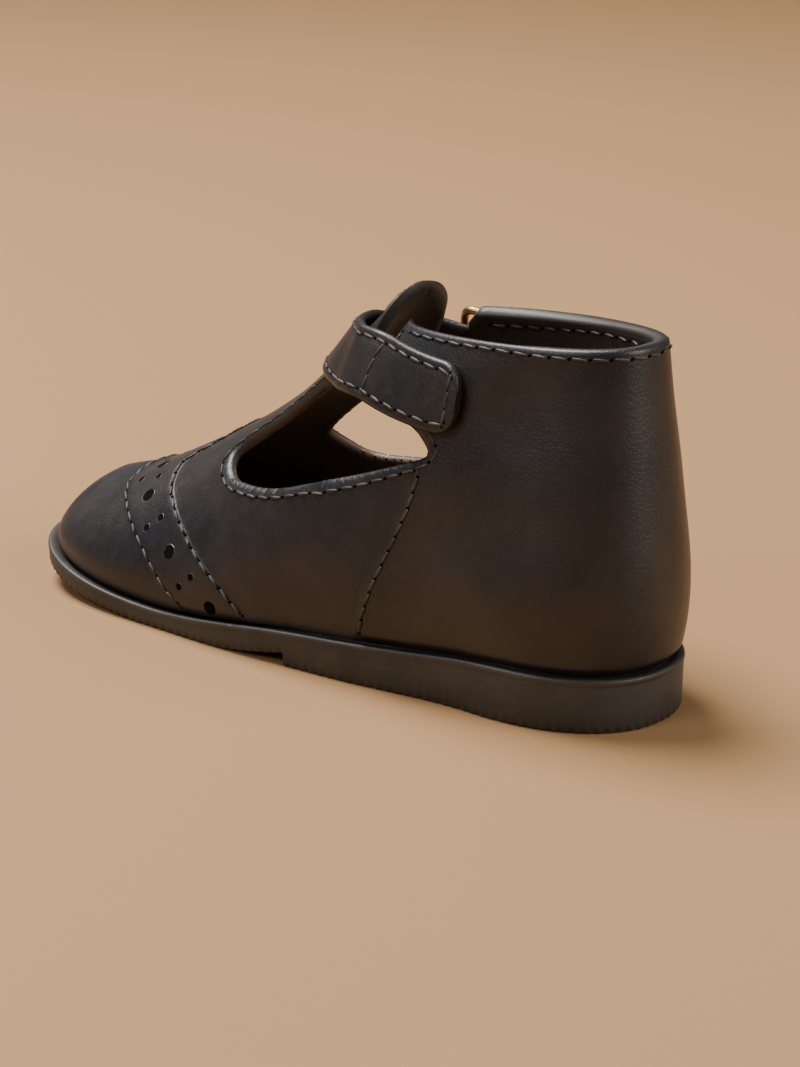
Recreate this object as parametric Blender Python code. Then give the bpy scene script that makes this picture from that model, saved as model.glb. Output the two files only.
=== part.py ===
# Toddler's T-bar shoe for the right foot, standing empty on its sole.
# The toe points along +X, the inner (medial) side is +Y, up is +Z, and lengths are in metres.
# The origin is on the ground, in the middle of the heel's resting face.
import bmesh
import bpy
import numpy as np
from mathutils import Vector
from mathutils.bvhtree import BVHTree

# outsole
SOLE_LENGTH = 0.140
HEEL_WIDTH = 0.040
WAIST_WIDTH = 0.0496
BALL_INNER = 0.02825
BALL_OUTER = 0.0295
BALL_AT = 0.090
HEEL_ROUND = 0.0285
TOE_ROUND = 0.0395
TOE_SHIFT = 0.0045
HEEL_HEIGHT = 0.0098
FOREPART_HEIGHT = 0.0037
TOE_SPRING = 0.0056
BREAST_AT = 0.066
BREAST_RISE = 0.0024
TREAD_FROM = 0.083
TREAD_TO = 0.095
SOLE_EDGE_ROUND = 0.0007
LEDGE = 0.0017
TOE_LEDGE = 0.0024

# upper
LEATHER = 0.0020
COLLAR_BACK = 0.0060
COLLAR_FRONT = 0.0520
COLLAR_WIDTH = 0.0266
COLLAR_HEIGHT = 0.0661
COLLAR_DROP = 0.0028
COLLAR_LENGTH = COLLAR_FRONT - COLLAR_BACK
INSTEP_HEIGHT = 0.0397
TOE_BOX_HEIGHT = 0.0207
TOE_BOX_AT = 0.1285
HEEL_BULGE = 0.0016
QUARTER_STEP = 0.0008
TOE_BAND_STEP = 0.0004
BAR_WIDTH = 0.0230
TAB_WIDTH = 0.0195
TAB_LENGTH = 0.0105
TAB_HEIGHT = 0.0690
CUTOUT_FRONT = 0.0920
CUTOUT_BACK = 0.0375
CUTOUT_OUTER_DROP = 0.0024
BAR_FLARE = 0.0025
QUARTER_FRONT = 0.0530

# insole
INSOLE_THICKNESS = 0.0020

# ankle strap and its buckle
STRAP_HEIGHT = 0.0558
STRAP_DROP = 0.0045
STRAP_WIDTH = 0.0138
STRAP_TIP_WIDTH = 0.0104
STRAP_THICKNESS = 0.0018
STRAP_START = 0.0325
STRAP_TAIL = 0.0280
BUCKLE_AT = 0.0565
BUCKLE_LENGTH = 0.0100
BUCKLE_WIRE = 0.0016
BUCKLE_PLAY = 0.0006
PRONG_WIRE = 0.0013
BUCKLE_TAB_LEATHER = 0.0009
BUCKLE_TAB_LENGTH = 0.0120

CLEARANCE = 0.0003
HEEL_REST_AT = 0.0220


def clear_scene():
    for item in list(bpy.data.objects):
        bpy.data.objects.remove(item, do_unlink=True)


def leather_like(name, colour, roughness, metallic=0.0):
    material = bpy.data.materials.new(name)
    material.use_nodes = True
    shader = material.node_tree.nodes["Principled BSDF"]
    shader.inputs["Base Color"].default_value = (*colour, 1.0)
    shader.inputs["Roughness"].default_value = roughness
    shader.inputs["Metallic"].default_value = metallic
    material.diffuse_color = (*colour, 1.0)
    return material


def smooth_curve(x, rows):
    """Monotone cubic through rows of (place, value): no overshoot between the rows."""
    xs, ys = np.array(rows, float).T
    step = np.diff(xs)
    slope = np.diff(ys) / step
    tangent = np.zeros_like(ys)
    same = slope[:-1] * slope[1:] > 0
    weight_a = 2 * step[1:] + step[:-1]
    weight_b = step[1:] + 2 * step[:-1]
    safe = np.where(same, slope[:-1], 1.0), np.where(same, slope[1:], 1.0)
    mean = (weight_a + weight_b) / (weight_a / safe[0] + weight_b / safe[1])
    tangent[1:-1] = np.where(same, mean, 0.0)
    tangent[0], tangent[-1] = slope[0], slope[-1]
    x = np.clip(x, xs[0], xs[-1])
    i = np.clip(np.searchsorted(xs, x, side="right") - 1, 0, len(xs) - 2)
    t = (x - xs[i]) / step[i]
    return ((1 + 2 * t) * (1 - t) ** 2 * ys[i] + t * (1 - t) ** 2 * step[i] * tangent[i]
            + t * t * (3 - 2 * t) * ys[i + 1] + t * t * (t - 1) * step[i] * tangent[i + 1])


def smoothstep(x):
    x = np.clip(x, 0, 1)
    return x * x * (3 - 2 * x)


def along_sole(turn):
    """Distance from the heel's back for a turn of 0 (heel) to 1 (toe)."""
    return SOLE_LENGTH / 2 * (1 - np.cos(np.pi * turn))


def sole_half_width(x, ball):
    body = smooth_curve(x, [(0.0, HEEL_WIDTH / 2), (0.19 * SOLE_LENGTH, HEEL_WIDTH / 2),
                            (0.40 * SOLE_LENGTH, WAIST_WIDTH / 2), (BALL_AT, ball), (SOLE_LENGTH, ball)])
    heel = 1 - np.clip(1 - x / HEEL_ROUND, 0, 1) ** 2.26
    toe = 1 - np.clip(1 - (SOLE_LENGTH - x) / TOE_ROUND, 0, 1) ** 2.54
    return body * heel ** (1 / 2.26) * toe ** (1 / 2.54)


def ledge_at(turn):
    """Width of the sole's bare ledge round the upper, wider at the toe."""
    share = np.clip((along_sole(np.asarray(turn)) / SOLE_LENGTH - 0.72) / 0.28, 0, 1)
    return (LEDGE + (TOE_LEDGE - LEDGE) * share)[..., None]


def toe_shift(x):
    """How far the shoe's middle line leans to the inner side, towards the toe."""
    return TOE_SHIFT * np.clip((x - 0.57 * SOLE_LENGTH) / (0.43 * SOLE_LENGTH), 0, 1) ** 2


def outline(turn, side, inset=0.0):
    """Points of the sole's outline, moved inwards by inset. side is +1 inner, -1 outer."""
    def edge(u):
        x = along_sole(u)
        y = side * sole_half_width(x, BALL_INNER if side > 0 else BALL_OUTER)
        return np.stack([x, y + toe_shift(x)], -1)
    turn = np.asarray(turn, float)
    small = 1e-4
    ahead = edge(np.clip(turn + small, 0, 1)) - edge(np.clip(turn - small, 0, 1))
    ahead[turn <= 0] = (0, side)
    ahead[turn >= 1] = (0, -side)
    ahead /= np.linalg.norm(ahead, axis=1, keepdims=True)
    outward = np.stack([-ahead[:, 1], ahead[:, 0]], -1) * side
    return edge(turn) - inset * outward, outward


def spring(x):
    return TOE_SPRING * np.clip((x - TREAD_TO) / (SOLE_LENGTH - TREAD_TO), 0, 1.05) ** 2


def sole_top(x):
    level = smooth_curve(x, [(0.0, HEEL_HEIGHT), (0.16 * SOLE_LENGTH, HEEL_HEIGHT),
                             (BREAST_AT, 0.54 * HEEL_HEIGHT + 0.31 * FOREPART_HEIGHT),
                             (TREAD_TO + 0.03 * SOLE_LENGTH, FOREPART_HEIGHT), (SOLE_LENGTH, FOREPART_HEIGHT)])
    return level + spring(x)


def sole_bottom(x):
    arch = np.clip((TREAD_FROM - x) / (TREAD_FROM - BREAST_AT), 0, 1)
    arch = BREAST_RISE * arch ** 1.5
    return np.where(x <= BREAST_AT, 0.0, arch) + spring(x)


def object_from(name, vertices, faces, material, sharp=0.6):
    mesh = bpy.data.meshes.new(name)
    mesh.from_pydata([tuple(v) for v in vertices], [], faces)
    shape = bmesh.new()
    shape.from_mesh(mesh)
    bmesh.ops.recalc_face_normals(shape, faces=shape.faces)
    bmesh.ops.triangulate(shape, faces=shape.faces)
    shape.to_mesh(mesh)
    shape.free()
    mesh.materials.append(material)
    mesh.shade_smooth()
    mesh.set_sharp_from_angle(angle=sharp)
    item = bpy.data.objects.new(name, mesh)
    bpy.context.scene.collection.objects.link(item)
    return item


def stacked_rings(name, turns, levels, material):
    """Closed solid from rings round the outline. levels holds (inset, height function) from bottom to top."""
    count = len(turns)
    loop = 2 * count - 2
    vertices = []
    for inset, height in levels:
        inset = inset * np.ones((count, 1))
        inner, _ = outline(turns, 1, inset)
        outer, _ = outline(turns[-2:0:-1], -1, inset[-2:0:-1])
        flat = np.concatenate([inner, outer])
        vertices.append(np.column_stack([flat, height(flat[:, 0])]))
    faces = []
    for level in range(len(levels) - 1):
        for i in range(loop):
            j = (i + 1) % loop
            a, b = level * loop, (level + 1) * loop
            faces.append((a + i, a + j, b + j, b + i))
    top = (len(levels) - 1) * loop
    for i in range(count - 1):
        left, left_next = i, i + 1
        right, right_next = (loop - i) % loop, loop - i - 1
        for base in (0, top):
            corners = [base + left, base + left_next, base + right_next, base + right]
            faces.append(tuple(dict.fromkeys(corners)))
    return object_from(name, np.concatenate(vertices), faces, material)


def make_outsole():
    breast_turn = np.arccos(1 - 2 * BREAST_AT / SOLE_LENGTH) / np.pi
    turns = np.sort(np.concatenate([np.linspace(0, 1, 49), [breast_turn, breast_turn + 0.0012]]))
    r = SOLE_EDGE_ROUND
    levels = [(1.2 * r, sole_bottom), (0.6 * r, lambda x: sole_bottom(x) + 0.5 * r),
              (0.4 * r, lambda x: sole_bottom(x) + 1.2 * r), (0.0, lambda x: sole_top(x) - 1.2 * r),
              (0.15 * r, lambda x: sole_top(x) - 0.4 * r), (0.8 * r, sole_top)]
    rubber = leather_like("sole_rubber", (0.030, 0.027, 0.023), 0.55)
    return stacked_rings("outsole", turns, levels, rubber)


def make_insole():
    turns = np.linspace(0, 1, 33)
    inset = ledge_at(turns) + LEATHER + 2 * CLEARANCE
    levels = [(inset, lambda x: sole_top(x) + CLEARANCE),
              (inset, lambda x: sole_top(x) + CLEARANCE + INSOLE_THICKNESS)]
    sock = leather_like("insole_leather", (0.060, 0.040, 0.026), 0.7)
    return stacked_rings("insole", turns, levels, sock)


# Columns of the upper's surface. Each runs from the sole's ledge up to the collar, the tab or the ridge.
# turn: place round the outline, 0 heel to 1 toe. reach: place on the top line, 0 collar back,
# 1 collar corner, 1.2 tab end, 2 toe box. fullness: 1 straight, 2 round. arc: share of the quarter
# turn that the section makes, 1 where it ends level on the ridge. bulge: share of HEEL_BULGE.
COLUMN_NAMES = ("turn", "reach", "fullness", "arc", "bulge")
COLUMNS = [(0.000, 0.00, 1.60, 0.55, 1.0),
           (0.200, 0.22, 1.60, 0.55, 1.0),
           (0.320, 0.40, 1.70, 0.55, 1.0),
           (0.390, 0.53, 1.75, 0.60, 1.0),
           (0.450, 1.00, 1.80, 0.80, 1.0),
           (0.475, 1.20, 1.80, 1.00, 1.0),
           (0.640, 1.52, 1.75, 1.00, 0.9),
           (0.780, 1.76, 2.00, 1.00, 0.5),
           (1.000, 2.00, 2.60, 1.00, 0.1)]
SEAM_TURN = 0.390


def column_value(turn, name):
    rows = [(row[0], row[COLUMN_NAMES.index(name)]) for row in COLUMNS]
    return smooth_curve(turn, rows)


def ridge_height(x):
    """Height of the upper's middle line, from the tab's end down the instep to the toe box."""
    tab_top = COLLAR_FRONT + 0.065 * COLLAR_LENGTH
    run = CUTOUT_FRONT - 0.054 * COLLAR_LENGTH - tab_top
    fall = TAB_HEIGHT - INSTEP_HEIGHT
    return smooth_curve(x, [(tab_top, TAB_HEIGHT + 0.068 * fall),
                            (tab_top + 0.377 * run, TAB_HEIGHT - 0.375 * fall),
                            (tab_top + 0.710 * run, TAB_HEIGHT - 0.75 * fall),
                            (tab_top + run, INSTEP_HEIGHT),
                            (0.62 * CUTOUT_FRONT + 0.38 * TOE_BOX_AT, 0.48 * INSTEP_HEIGHT + 0.52 * TOE_BOX_HEIGHT),
                            (0.25 * CUTOUT_FRONT + 0.75 * TOE_BOX_AT, 0.14 * INSTEP_HEIGHT + 0.86 * TOE_BOX_HEIGHT),
                            (TOE_BOX_AT, TOE_BOX_HEIGHT)])


def top_line(reach, side):
    """Points of the upper's top line: round the collar, over the tab's end and down the middle ridge."""
    reach = np.asarray(reach, float)
    turn = np.clip(reach, 0, 1)
    oval = (COLLAR_FRONT - COLLAR_BACK) / (1 - np.cos(0.83 * np.pi))
    x = COLLAR_BACK + oval * (1 - np.cos(0.83 * np.pi * turn))
    y = COLLAR_WIDTH / 2 * np.sin(np.pi * np.clip(turn * 0.83, 0, 1)) ** 0.78
    corner = COLLAR_WIDTH / 2 * np.sin(0.83 * np.pi) ** 0.78
    y = np.where(turn > 0.6, np.maximum(y, corner), y)
    z = COLLAR_HEIGHT - COLLAR_DROP * (x - COLLAR_BACK) / (COLLAR_FRONT - COLLAR_BACK)
    over = np.clip((reach - 1) / 0.2, 0, 1)
    tab_x = COLLAR_FRONT + 0.065 * COLLAR_LENGTH
    tab_z = ridge_height(np.array([tab_x]))[0]
    corner_z = COLLAR_HEIGHT - COLLAR_DROP
    x = np.where(over > 0, COLLAR_FRONT + (tab_x - COLLAR_FRONT) * over, x)
    y = np.where(over > 0, corner * np.cos(over * np.pi / 2), y)
    z = np.where(over > 0, corner_z + (tab_z - corner_z) * np.sin(over * np.pi / 2), z)
    down = np.clip((reach - 1.2) / 0.8, 0, 1)
    ridge_x = tab_x + (TOE_BOX_AT - tab_x) * down
    on_ridge = reach >= 1.2
    x = np.where(on_ridge, ridge_x, x)
    y = np.where(on_ridge, 0.0, y)
    z = np.where(on_ridge, ridge_height(ridge_x), z)
    return np.stack([x, side * y + toe_shift(x), z], -1)


def upper_surface(turns, heights, side):
    """Grid of points on the upper's outer surface, one row of points for each turn.

    Between the ledge F and the top line T a point goes in by 1 - cos(a)^(2/n) and up by sin(a)^(2/n),
    both scaled to end at T, where n is the column's fullness, and out by a soft bulge low down.
    The upward part is sheared by the ridge's own slope, so both sides meet smoothly on the ridge.
    """
    foot, outward = outline(turns, side, ledge_at(turns))
    foot_z = sole_top(foot[:, 0]) + CLEARANCE
    top = top_line(column_value(turns, "reach"), side)
    power = 2 / column_value(turns, "fullness")[:, None]
    last = np.minimum(column_value(turns, "arc"), 1)[:, None] * np.pi / 2
    angle = np.asarray(heights, float)[None, :] * last
    inward = (1 - np.maximum(np.cos(angle), 0) ** power) / (1 - np.maximum(np.cos(last), 0) ** power)
    upward = (np.sin(angle) / np.sin(last)) ** power
    reach = column_value(turns, "reach")
    step = 0.001
    inside = np.minimum(top[:, 0], TOE_BOX_AT - step)
    slope = (ridge_height(inside - step) - ridge_height(inside + step)) / (2 * step)
    slope = slope * np.clip((reach - 1) / 0.2, 0, 1)
    shift = (slope * (foot[:, 0] - top[:, 0]))[:, None]
    x = foot[:, :1] + (top[:, :1] - foot[:, :1]) * inward
    y = foot[:, 1:] + (top[:, 1:2] - foot[:, 1:]) * inward
    base = foot_z[:, None] + shift
    z = base + (top[:, 2:] - base) * upward - shift * (1 - inward)
    rise = upward * (1 - upward) ** 3 / 0.1055
    bulge = HEEL_BULGE * column_value(turns, "bulge")[:, None] * rise
    x = x + bulge * outward[:, :1]
    y = y + bulge * outward[:, 1:]
    return np.stack([x, y, z], -1)


def band_lines(points, side):
    """How far a point lies inside the toe band, 0 to 1, from its place along the shoe and its height."""
    share = np.clip((points[..., 2] - FOREPART_HEIGHT) / TOE_BOX_HEIGHT, 0, 1)
    front = SOLE_LENGTH * (0.70 + 0.23 * share ** 0.8)
    back = SOLE_LENGTH * (0.57 + 0.23 * share ** 0.9)
    edge = 0.008 * SOLE_LENGTH
    rise = np.clip((points[..., 0] - back) / edge, 0, 1) * np.clip((front - points[..., 0]) / edge, 0, 1)
    return rise


def surface_grid(turns, heights):
    """Both sides joined into one loop of columns: inner side heel to toe, then outer side back."""
    inner = upper_surface(turns, heights, 1)
    outer = upper_surface(turns[-2:0:-1], heights, -1)
    return np.concatenate([inner, outer])


def grid_normals(points):
    around = np.roll(points, -1, axis=0) - np.roll(points, 1, axis=0)
    up = np.gradient(points, axis=1)
    normal = np.cross(up, around)
    normal /= np.maximum(np.linalg.norm(normal, axis=-1, keepdims=True), 1e-12)
    # an even wall needs normals that turn slowly, also where columns lie close together
    for _ in range(8):
        normal = 0.25 * np.roll(normal, 1, axis=0) + 0.5 * normal + 0.25 * np.roll(normal, -1, axis=0)
        normal[:, 1:-1] = 0.25 * normal[:, :-2] + 0.5 * normal[:, 1:-1] + 0.25 * normal[:, 2:]
        normal /= np.linalg.norm(normal, axis=-1, keepdims=True)
    return normal


def ridge_normals(normal, turns, ridge_from):
    """On the ridge both sides share one normal."""
    count = len(turns)
    loop = 2 * count - 2
    for i in range(ridge_from, count):
        j = (loop - i) % loop
        shared = normal[i, -2] + normal[j, -2]
        shared /= np.linalg.norm(shared)
        normal[i, -1] = shared
        normal[j, -1] = shared
    return normal


def make_upper(material):
    seam = [SEAM_TURN, SEAM_TURN + 0.004]
    turns = np.sort(np.concatenate([np.linspace(0, 0.375, 13), [0.408, 0.423, 0.437], np.linspace(0.45, 0.475, 5),
                                    np.linspace(0.485, 0.605, 9), np.linspace(0.63, 1, 17), seam]))
    heights = np.concatenate([np.linspace(0, 0.84, 13), [0.89, 0.93, 0.965, 1.0]])
    outer = surface_grid(turns, heights)
    count, rows = len(turns), len(heights)
    loop = 2 * count - 2
    ridge_from = int(np.argmax(turns >= 0.4749))
    normal = ridge_normals(grid_normals(outer), turns, ridge_from)
    inner = outer - normal * LEATHER
    ledge_normal = normal[:, 0].copy()
    ledge_normal[:, 2] = 0
    ledge_normal /= np.linalg.norm(ledge_normal, axis=1, keepdims=True)
    inner[:, 0] = outer[:, 0] - ledge_normal * LEATHER
    inner[:, 0, 2] = sole_top(inner[:, 0, 0]) + CLEARANCE
    loop_turn = np.concatenate([turns, turns[-2:0:-1]])
    above_throat = smoothstep((outer[..., 2] - throat_height() - 0.406 * quarter_room()) / LEATHER)
    behind_front = smoothstep((QUARTER_FRONT + 2 * LEATHER - outer[..., 0]) / LEATHER)
    quarter = np.maximum((loop_turn <= SEAM_TURN + 1e-6)[:, None], above_throat * behind_front)[..., None]
    fade = np.clip(np.arange(rows) / 1.0, 0, 1)[None, :, None]
    outer = outer + normal * QUARTER_STEP * quarter * fade
    outer = outer + normal * TOE_BAND_STEP * band_lines(outer, 1)[..., None] * fade
    index = np.arange(loop * rows).reshape(loop, rows)
    for i in range(ridge_from, count):
        index[(loop - i) % loop, -1] = index[i, -1]
    faces = []
    inside = loop * rows
    for i in range(loop):
        j = (i + 1) % loop
        for k in range(rows - 1):
            quad = [index[i, k], index[j, k], index[j, k + 1], index[i, k + 1]]
            faces.append(tuple(dict.fromkeys(quad)))
            faces.append(tuple(dict.fromkeys([q + inside for q in quad[::-1]])))
        faces.append((index[j, 0], index[i, 0], index[i, 0] + inside, index[j, 0] + inside))
        on_collar = i < ridge_from or i >= loop - ridge_from
        if on_collar:
            a, b = index[i, -1], index[j, -1]
            faces.append((a, b, b + inside, a + inside))
    vertices = np.concatenate([outer.reshape(-1, 3), inner.reshape(-1, 3)])
    used = sorted({v for face in faces for v in face})
    renumber = {old: new for new, old in enumerate(used)}
    faces = [tuple(renumber[v] for v in face) for face in faces]
    return object_from("upper", vertices[used], faces, material)


def prism(name, profile, low, high, place):
    """Cutter: a flat profile drawn out from low to high along the middle argument of place."""
    count = len(profile)
    vertices = [place(x, low, z) for x, z in profile] + [place(x, high, z) for x, z in profile]
    faces = [tuple(range(count)), tuple(range(2 * count - 1, count - 1, -1))]
    faces += [(i, (i + 1) % count, count + (i + 1) % count, count + i) for i in range(count)]
    item = object_from(name, vertices, faces, leather_like(name, (1, 0, 0), 0.5))
    item.hide_render = True
    item.display_type = "WIRE"
    return item


def rounded(corners, steps=5):
    """Round the corners of a closed outline given as (x, z, radius)."""
    points = []
    for i, (x, z, radius) in enumerate(corners):
        here = np.array([x, z])
        before = np.array(corners[i - 1][:2]) - here
        after = np.array(corners[(i + 1) % len(corners)][:2]) - here
        if radius <= 0:
            points.append(tuple(here))
            continue
        start = here + before / np.linalg.norm(before) * radius
        end = here + after / np.linalg.norm(after) * radius
        for s in np.linspace(0, 1, steps):
            points.append(tuple((1 - s) ** 2 * start + 2 * s * (1 - s) * here + s * s * end))
    return points


def cut(item, cutter):
    boolean = item.modifiers.new(cutter.name, "BOOLEAN")
    boolean.operation = "DIFFERENCE"
    boolean.solver = "EXACT"
    boolean.object = cutter


def throat_height():
    """Lowest height of the vamp's edge beside the T-bar."""
    return 0.776 * INSTEP_HEIGHT


def quarter_room():
    """Height from the vamp's edge up to the collar's front corner."""
    return COLLAR_HEIGHT - COLLAR_DROP - throat_height()


def cutout_profile(drop):
    """Side view of the opening: throat line of the vamp, then up the quarter's front edge."""
    low = throat_height() - drop
    above = 1.3 * TAB_HEIGHT
    corner = COLLAR_HEIGHT - COLLAR_DROP
    room = quarter_room()
    long = CUTOUT_FRONT - CUTOUT_BACK
    front = QUARTER_FRONT - CUTOUT_BACK
    soft = LEATHER
    return rounded([(CUTOUT_FRONT, low + 0.108 * room, 1.5 * soft),
                    (CUTOUT_FRONT - 0.092 * long, low - 0.031 * room, 1.5 * soft),
                    (0.80 * CUTOUT_FRONT, low, 3 * soft),
                    (0.55 * CUTOUT_FRONT, low + 0.246 * room, 3 * soft),
                    (CUTOUT_BACK, low + 0.406 * room + 0.5 * drop, soft),
                    (CUTOUT_BACK + 0.258 * front, low + 0.530 * room + drop, soft),
                    (CUTOUT_BACK + 0.742 * front, low + 0.576 * room + drop, soft),
                    (QUARTER_FRONT + 0.065 * front, low + 0.662 * room + drop, soft),
                    (QUARTER_FRONT + 0.065 * front, corner - 0.108 * room, 1.5 * soft),
                    (QUARTER_FRONT - 0.300 * front, corner + 0.049 * room, 0.0),
                    (QUARTER_FRONT - 0.300 * front, above, 0.0),
                    (CUTOUT_FRONT + 0.275 * long, above, 0.0),
                    (CUTOUT_FRONT + 0.018 * long, low + 0.308 * room, 0.0)])


def cut_openings(upper):
    wide = 0.06
    half_bar = BAR_WIDTH / 2

    def beside_bar(side):
        def place(x, y, z):
            flare = BAR_FLARE * np.clip((x - CUTOUT_FRONT) / 0.012 + 1, 0, 1) ** 2
            return (x, side * max(y, half_bar + flare), z)
        return place
    cut(upper, prism("inner_cutout", cutout_profile(0.0), half_bar, wide, beside_bar(1)))
    cut(upper, prism("outer_cutout", cutout_profile(CUTOUT_OUTER_DROP), half_bar, wide, beside_bar(-1)))
    half = TAB_WIDTH / 2
    top = np.array([COLLAR_FRONT + 0.0045, TAB_HEIGHT])
    lean = np.array([-1.0, 1.0]) / np.sqrt(2)
    deep = np.array([1.0, 1.0]) / np.sqrt(2)

    def on_tab(y, depth, s):
        x, z = top + lean * s + deep * depth
        return (x, y, z)
    angles = np.linspace(-np.pi / 2, np.pi / 2, 13)
    ends = [half * np.sin(a) for a in angles]
    drops = [-half * 0.75 * (1 - np.cos(a)) for a in angles]
    side = half_bar + 0.0005
    beyond = 0.03
    frame = [(-half, -TAB_LENGTH), *zip(ends, drops), (half, -TAB_LENGTH)]
    outside = [(side, -TAB_LENGTH), (side, beyond), (-side, beyond), (-side, -TAB_LENGTH)]
    cut(upper, prism("tab_outline", frame + outside, -3 * LEATHER, 10 * LEATHER, on_tab))
    # the tab ends where it bends back to the quarters, and each quarter keeps its own corner
    behind = COLLAR_FRONT - 0.05 * LEATHER
    before = QUARTER_FRONT + 1.7 * LEATHER
    under = COLLAR_HEIGHT - COLLAR_DROP - 3.4 * LEATHER
    plane = sum(top) - 2.8 * LEATHER * np.sqrt(2)
    corner = [(behind, under), (before, under), (before, plane - before), (behind, plane - behind)]
    trim_half = half_bar + 0.12 * LEATHER
    cut(upper, prism("corner_trim", corner, -trim_half, trim_half, lambda x, y, z: (x, y, z)))
    # beside the tab, below the plane of its end
    ahead = QUARTER_FRONT + 0.6 * LEATHER
    end = ahead + 2.5 * LEATHER
    shelf = top[1] - top[0] - 1.42 * TAB_LENGTH
    plane = sum(top) - 2.9 * LEATHER * np.sqrt(2)
    wedge = [(ahead, ahead + shelf), (end, end + shelf), (end, plane - end), (ahead, plane - ahead)]
    for name, turned in (("inner_tab_side", 1), ("outer_tab_side", -1)):
        cut(upper, prism(name, wedge, half, side, lambda x, y, z, turned=turned: (x, turned * y, z)))


def outer_tree():
    """Search tree over a fine copy of the upper's outer surface."""
    turns = np.linspace(0, 1, 241)
    heights = np.linspace(0, 1, 81)
    grid = surface_grid(turns, heights)
    loop, rows = grid.shape[:2]
    index = np.arange(loop * rows).reshape(loop, rows)
    faces = [(int(index[i, k]), int(index[(i + 1) % loop, k]), int(index[(i + 1) % loop, k + 1]),
              int(index[i, k + 1])) for i in range(loop) for k in range(rows - 1)]
    return BVHTree.FromPolygons([Vector(p) for p in grid.reshape(-1, 3)], faces)


def strap_level(x, side):
    """Height of the strap's middle line: level on the inner side, dropping to the buckle."""
    share = np.clip((COLLAR_FRONT + 0.0215 - x) / 0.0215, 0, 1)
    return STRAP_HEIGHT - (STRAP_DROP * share if side < 0 else 0.0)


def strap_path(tree):
    """Middle line of the strap on the upper's surface, inner end first, with outward normals."""
    angles = np.linspace(-np.pi / 2 - 0.95, np.pi / 2 + 0.95, 201)
    centre = np.array([0.045, 0.0])
    points, normals = [], []
    for a in angles[::-1]:
        direction = Vector((np.cos(a), np.sin(a), 0))
        side = 1 if a > 0 else -1
        level = STRAP_HEIGHT
        for _ in range(3):
            hit, normal, _, _ = tree.ray_cast(Vector((centre[0], centre[1], level)), direction)
            level = strap_level(hit.x, side)
        points.append(tuple(hit))
        normals.append(tuple(normal if normal.dot(direction) > 0 else -normal))
    return np.array(points), np.array(normals)


def resample(points, values, step):
    """Even steps along a line, with values carried along it."""
    length = np.concatenate([[0], np.cumsum(np.linalg.norm(np.diff(points, axis=0), axis=1))])
    count = max(2, int(round(length[-1] / step)) + 1)
    at = np.linspace(0, length[-1], count)
    line = np.stack([np.interp(at, length, points[:, i]) for i in range(3)], -1)
    carried = np.stack([np.interp(at, length, values[:, i]) for i in range(3)], -1)
    carried /= np.linalg.norm(carried, axis=1, keepdims=True)
    return line, carried, at


def soften(values, passes):
    for _ in range(passes):
        values[1:-1] = 0.25 * values[:-2] + 0.5 * values[1:-1] + 0.25 * values[2:]
    return values


def ribbon(name, centre, width_axis, outward, half_widths, thickness, material, tree, heights, held):
    """Closed strip round its middle layer. By its share held, a place lies its height off the tree."""
    across = np.array([-1.0, -0.94, -0.5, 0.0, 0.5, 0.94, 1.0])
    edge = np.array([0.5, 1.0, 1.0, 1.0, 1.0, 1.0, 0.5])
    count = len(centre)
    spread = centre[:, None] + width_axis[:, None] * (half_widths[:, None] * across[None, :])[..., None]
    grow = np.repeat(outward[:, None], len(across), axis=1)
    for i in range(count):
        if held[i] <= 0:
            continue
        for k in range(len(across)):
            spot, normal, _, _ = tree.find_nearest(Vector(spread[i, k]))
            normal = normal if normal.dot(Vector(spread[i, k]) - Vector((0.05, 0, 0.04))) > 0 else -normal
            spread[i, k] += (np.array(spot + normal * heights[i]) - spread[i, k]) * held[i]
            facing = np.array(normal) * np.sign(np.dot(normal, outward[i]))
            grow[i, k] += (facing - grow[i, k]) * held[i]
    grow = soften(grow, 2)
    grow /= np.linalg.norm(grow, axis=-1, keepdims=True)
    offset = grow * (thickness / 2 * edge)[None, :, None]
    section = np.concatenate([spread - offset, (spread + offset)[:, ::-1]], axis=1)
    size = section.shape[1]
    index = np.arange(count * size).reshape(count, size)
    faces = [tuple(index[0]), tuple(index[-1][::-1])]
    for i in range(count - 1):
        for k in range(size):
            faces.append((index[i, k], index[i + 1, k], index[i + 1, (k + 1) % size], index[i, (k + 1) % size]))
    return object_from(name, section.reshape(-1, 3), faces, material, sharp=0.9)


def tube(name, path, radius, material, closed, sides=10):
    """Round wire along a path of points."""
    path = np.asarray(path, float)
    count = len(path)
    if closed:
        ahead = np.roll(path, -1, axis=0) - np.roll(path, 1, axis=0)
    else:
        ahead = np.gradient(path, axis=0)
    ahead /= np.linalg.norm(ahead, axis=1, keepdims=True)
    flat = np.cross(path[count // 3] - path[0], path[2 * count // 3] - path[0])
    flat /= np.linalg.norm(flat)
    side = np.cross(ahead, flat)
    side /= np.linalg.norm(side, axis=1, keepdims=True)
    turn = np.arange(sides) * 2 * np.pi / sides
    ring = path[:, None] + radius * (np.cos(turn)[None, :, None] * side[:, None] + np.sin(turn)[None, :, None] * flat)
    index = np.arange(count * sides).reshape(count, sides)
    faces = []
    for i in range(count if closed else count - 1):
        j = (i + 1) % count
        for k in range(sides):
            faces.append((index[i, k], index[j, k], index[j, (k + 1) % sides], index[i, (k + 1) % sides]))
    if not closed:
        faces += [tuple(index[0]), tuple(index[-1][::-1])]
    return object_from(name, ring.reshape(-1, 3), faces, material, sharp=1.2)


def bar_height():
    """Height of the buckle's hinge bar over the surface, inside the folded leather tab."""
    return QUARTER_STEP + 2 * CLEARANCE + BUCKLE_TAB_LEATHER + CLEARANCE + BUCKLE_WIRE / 2


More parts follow.
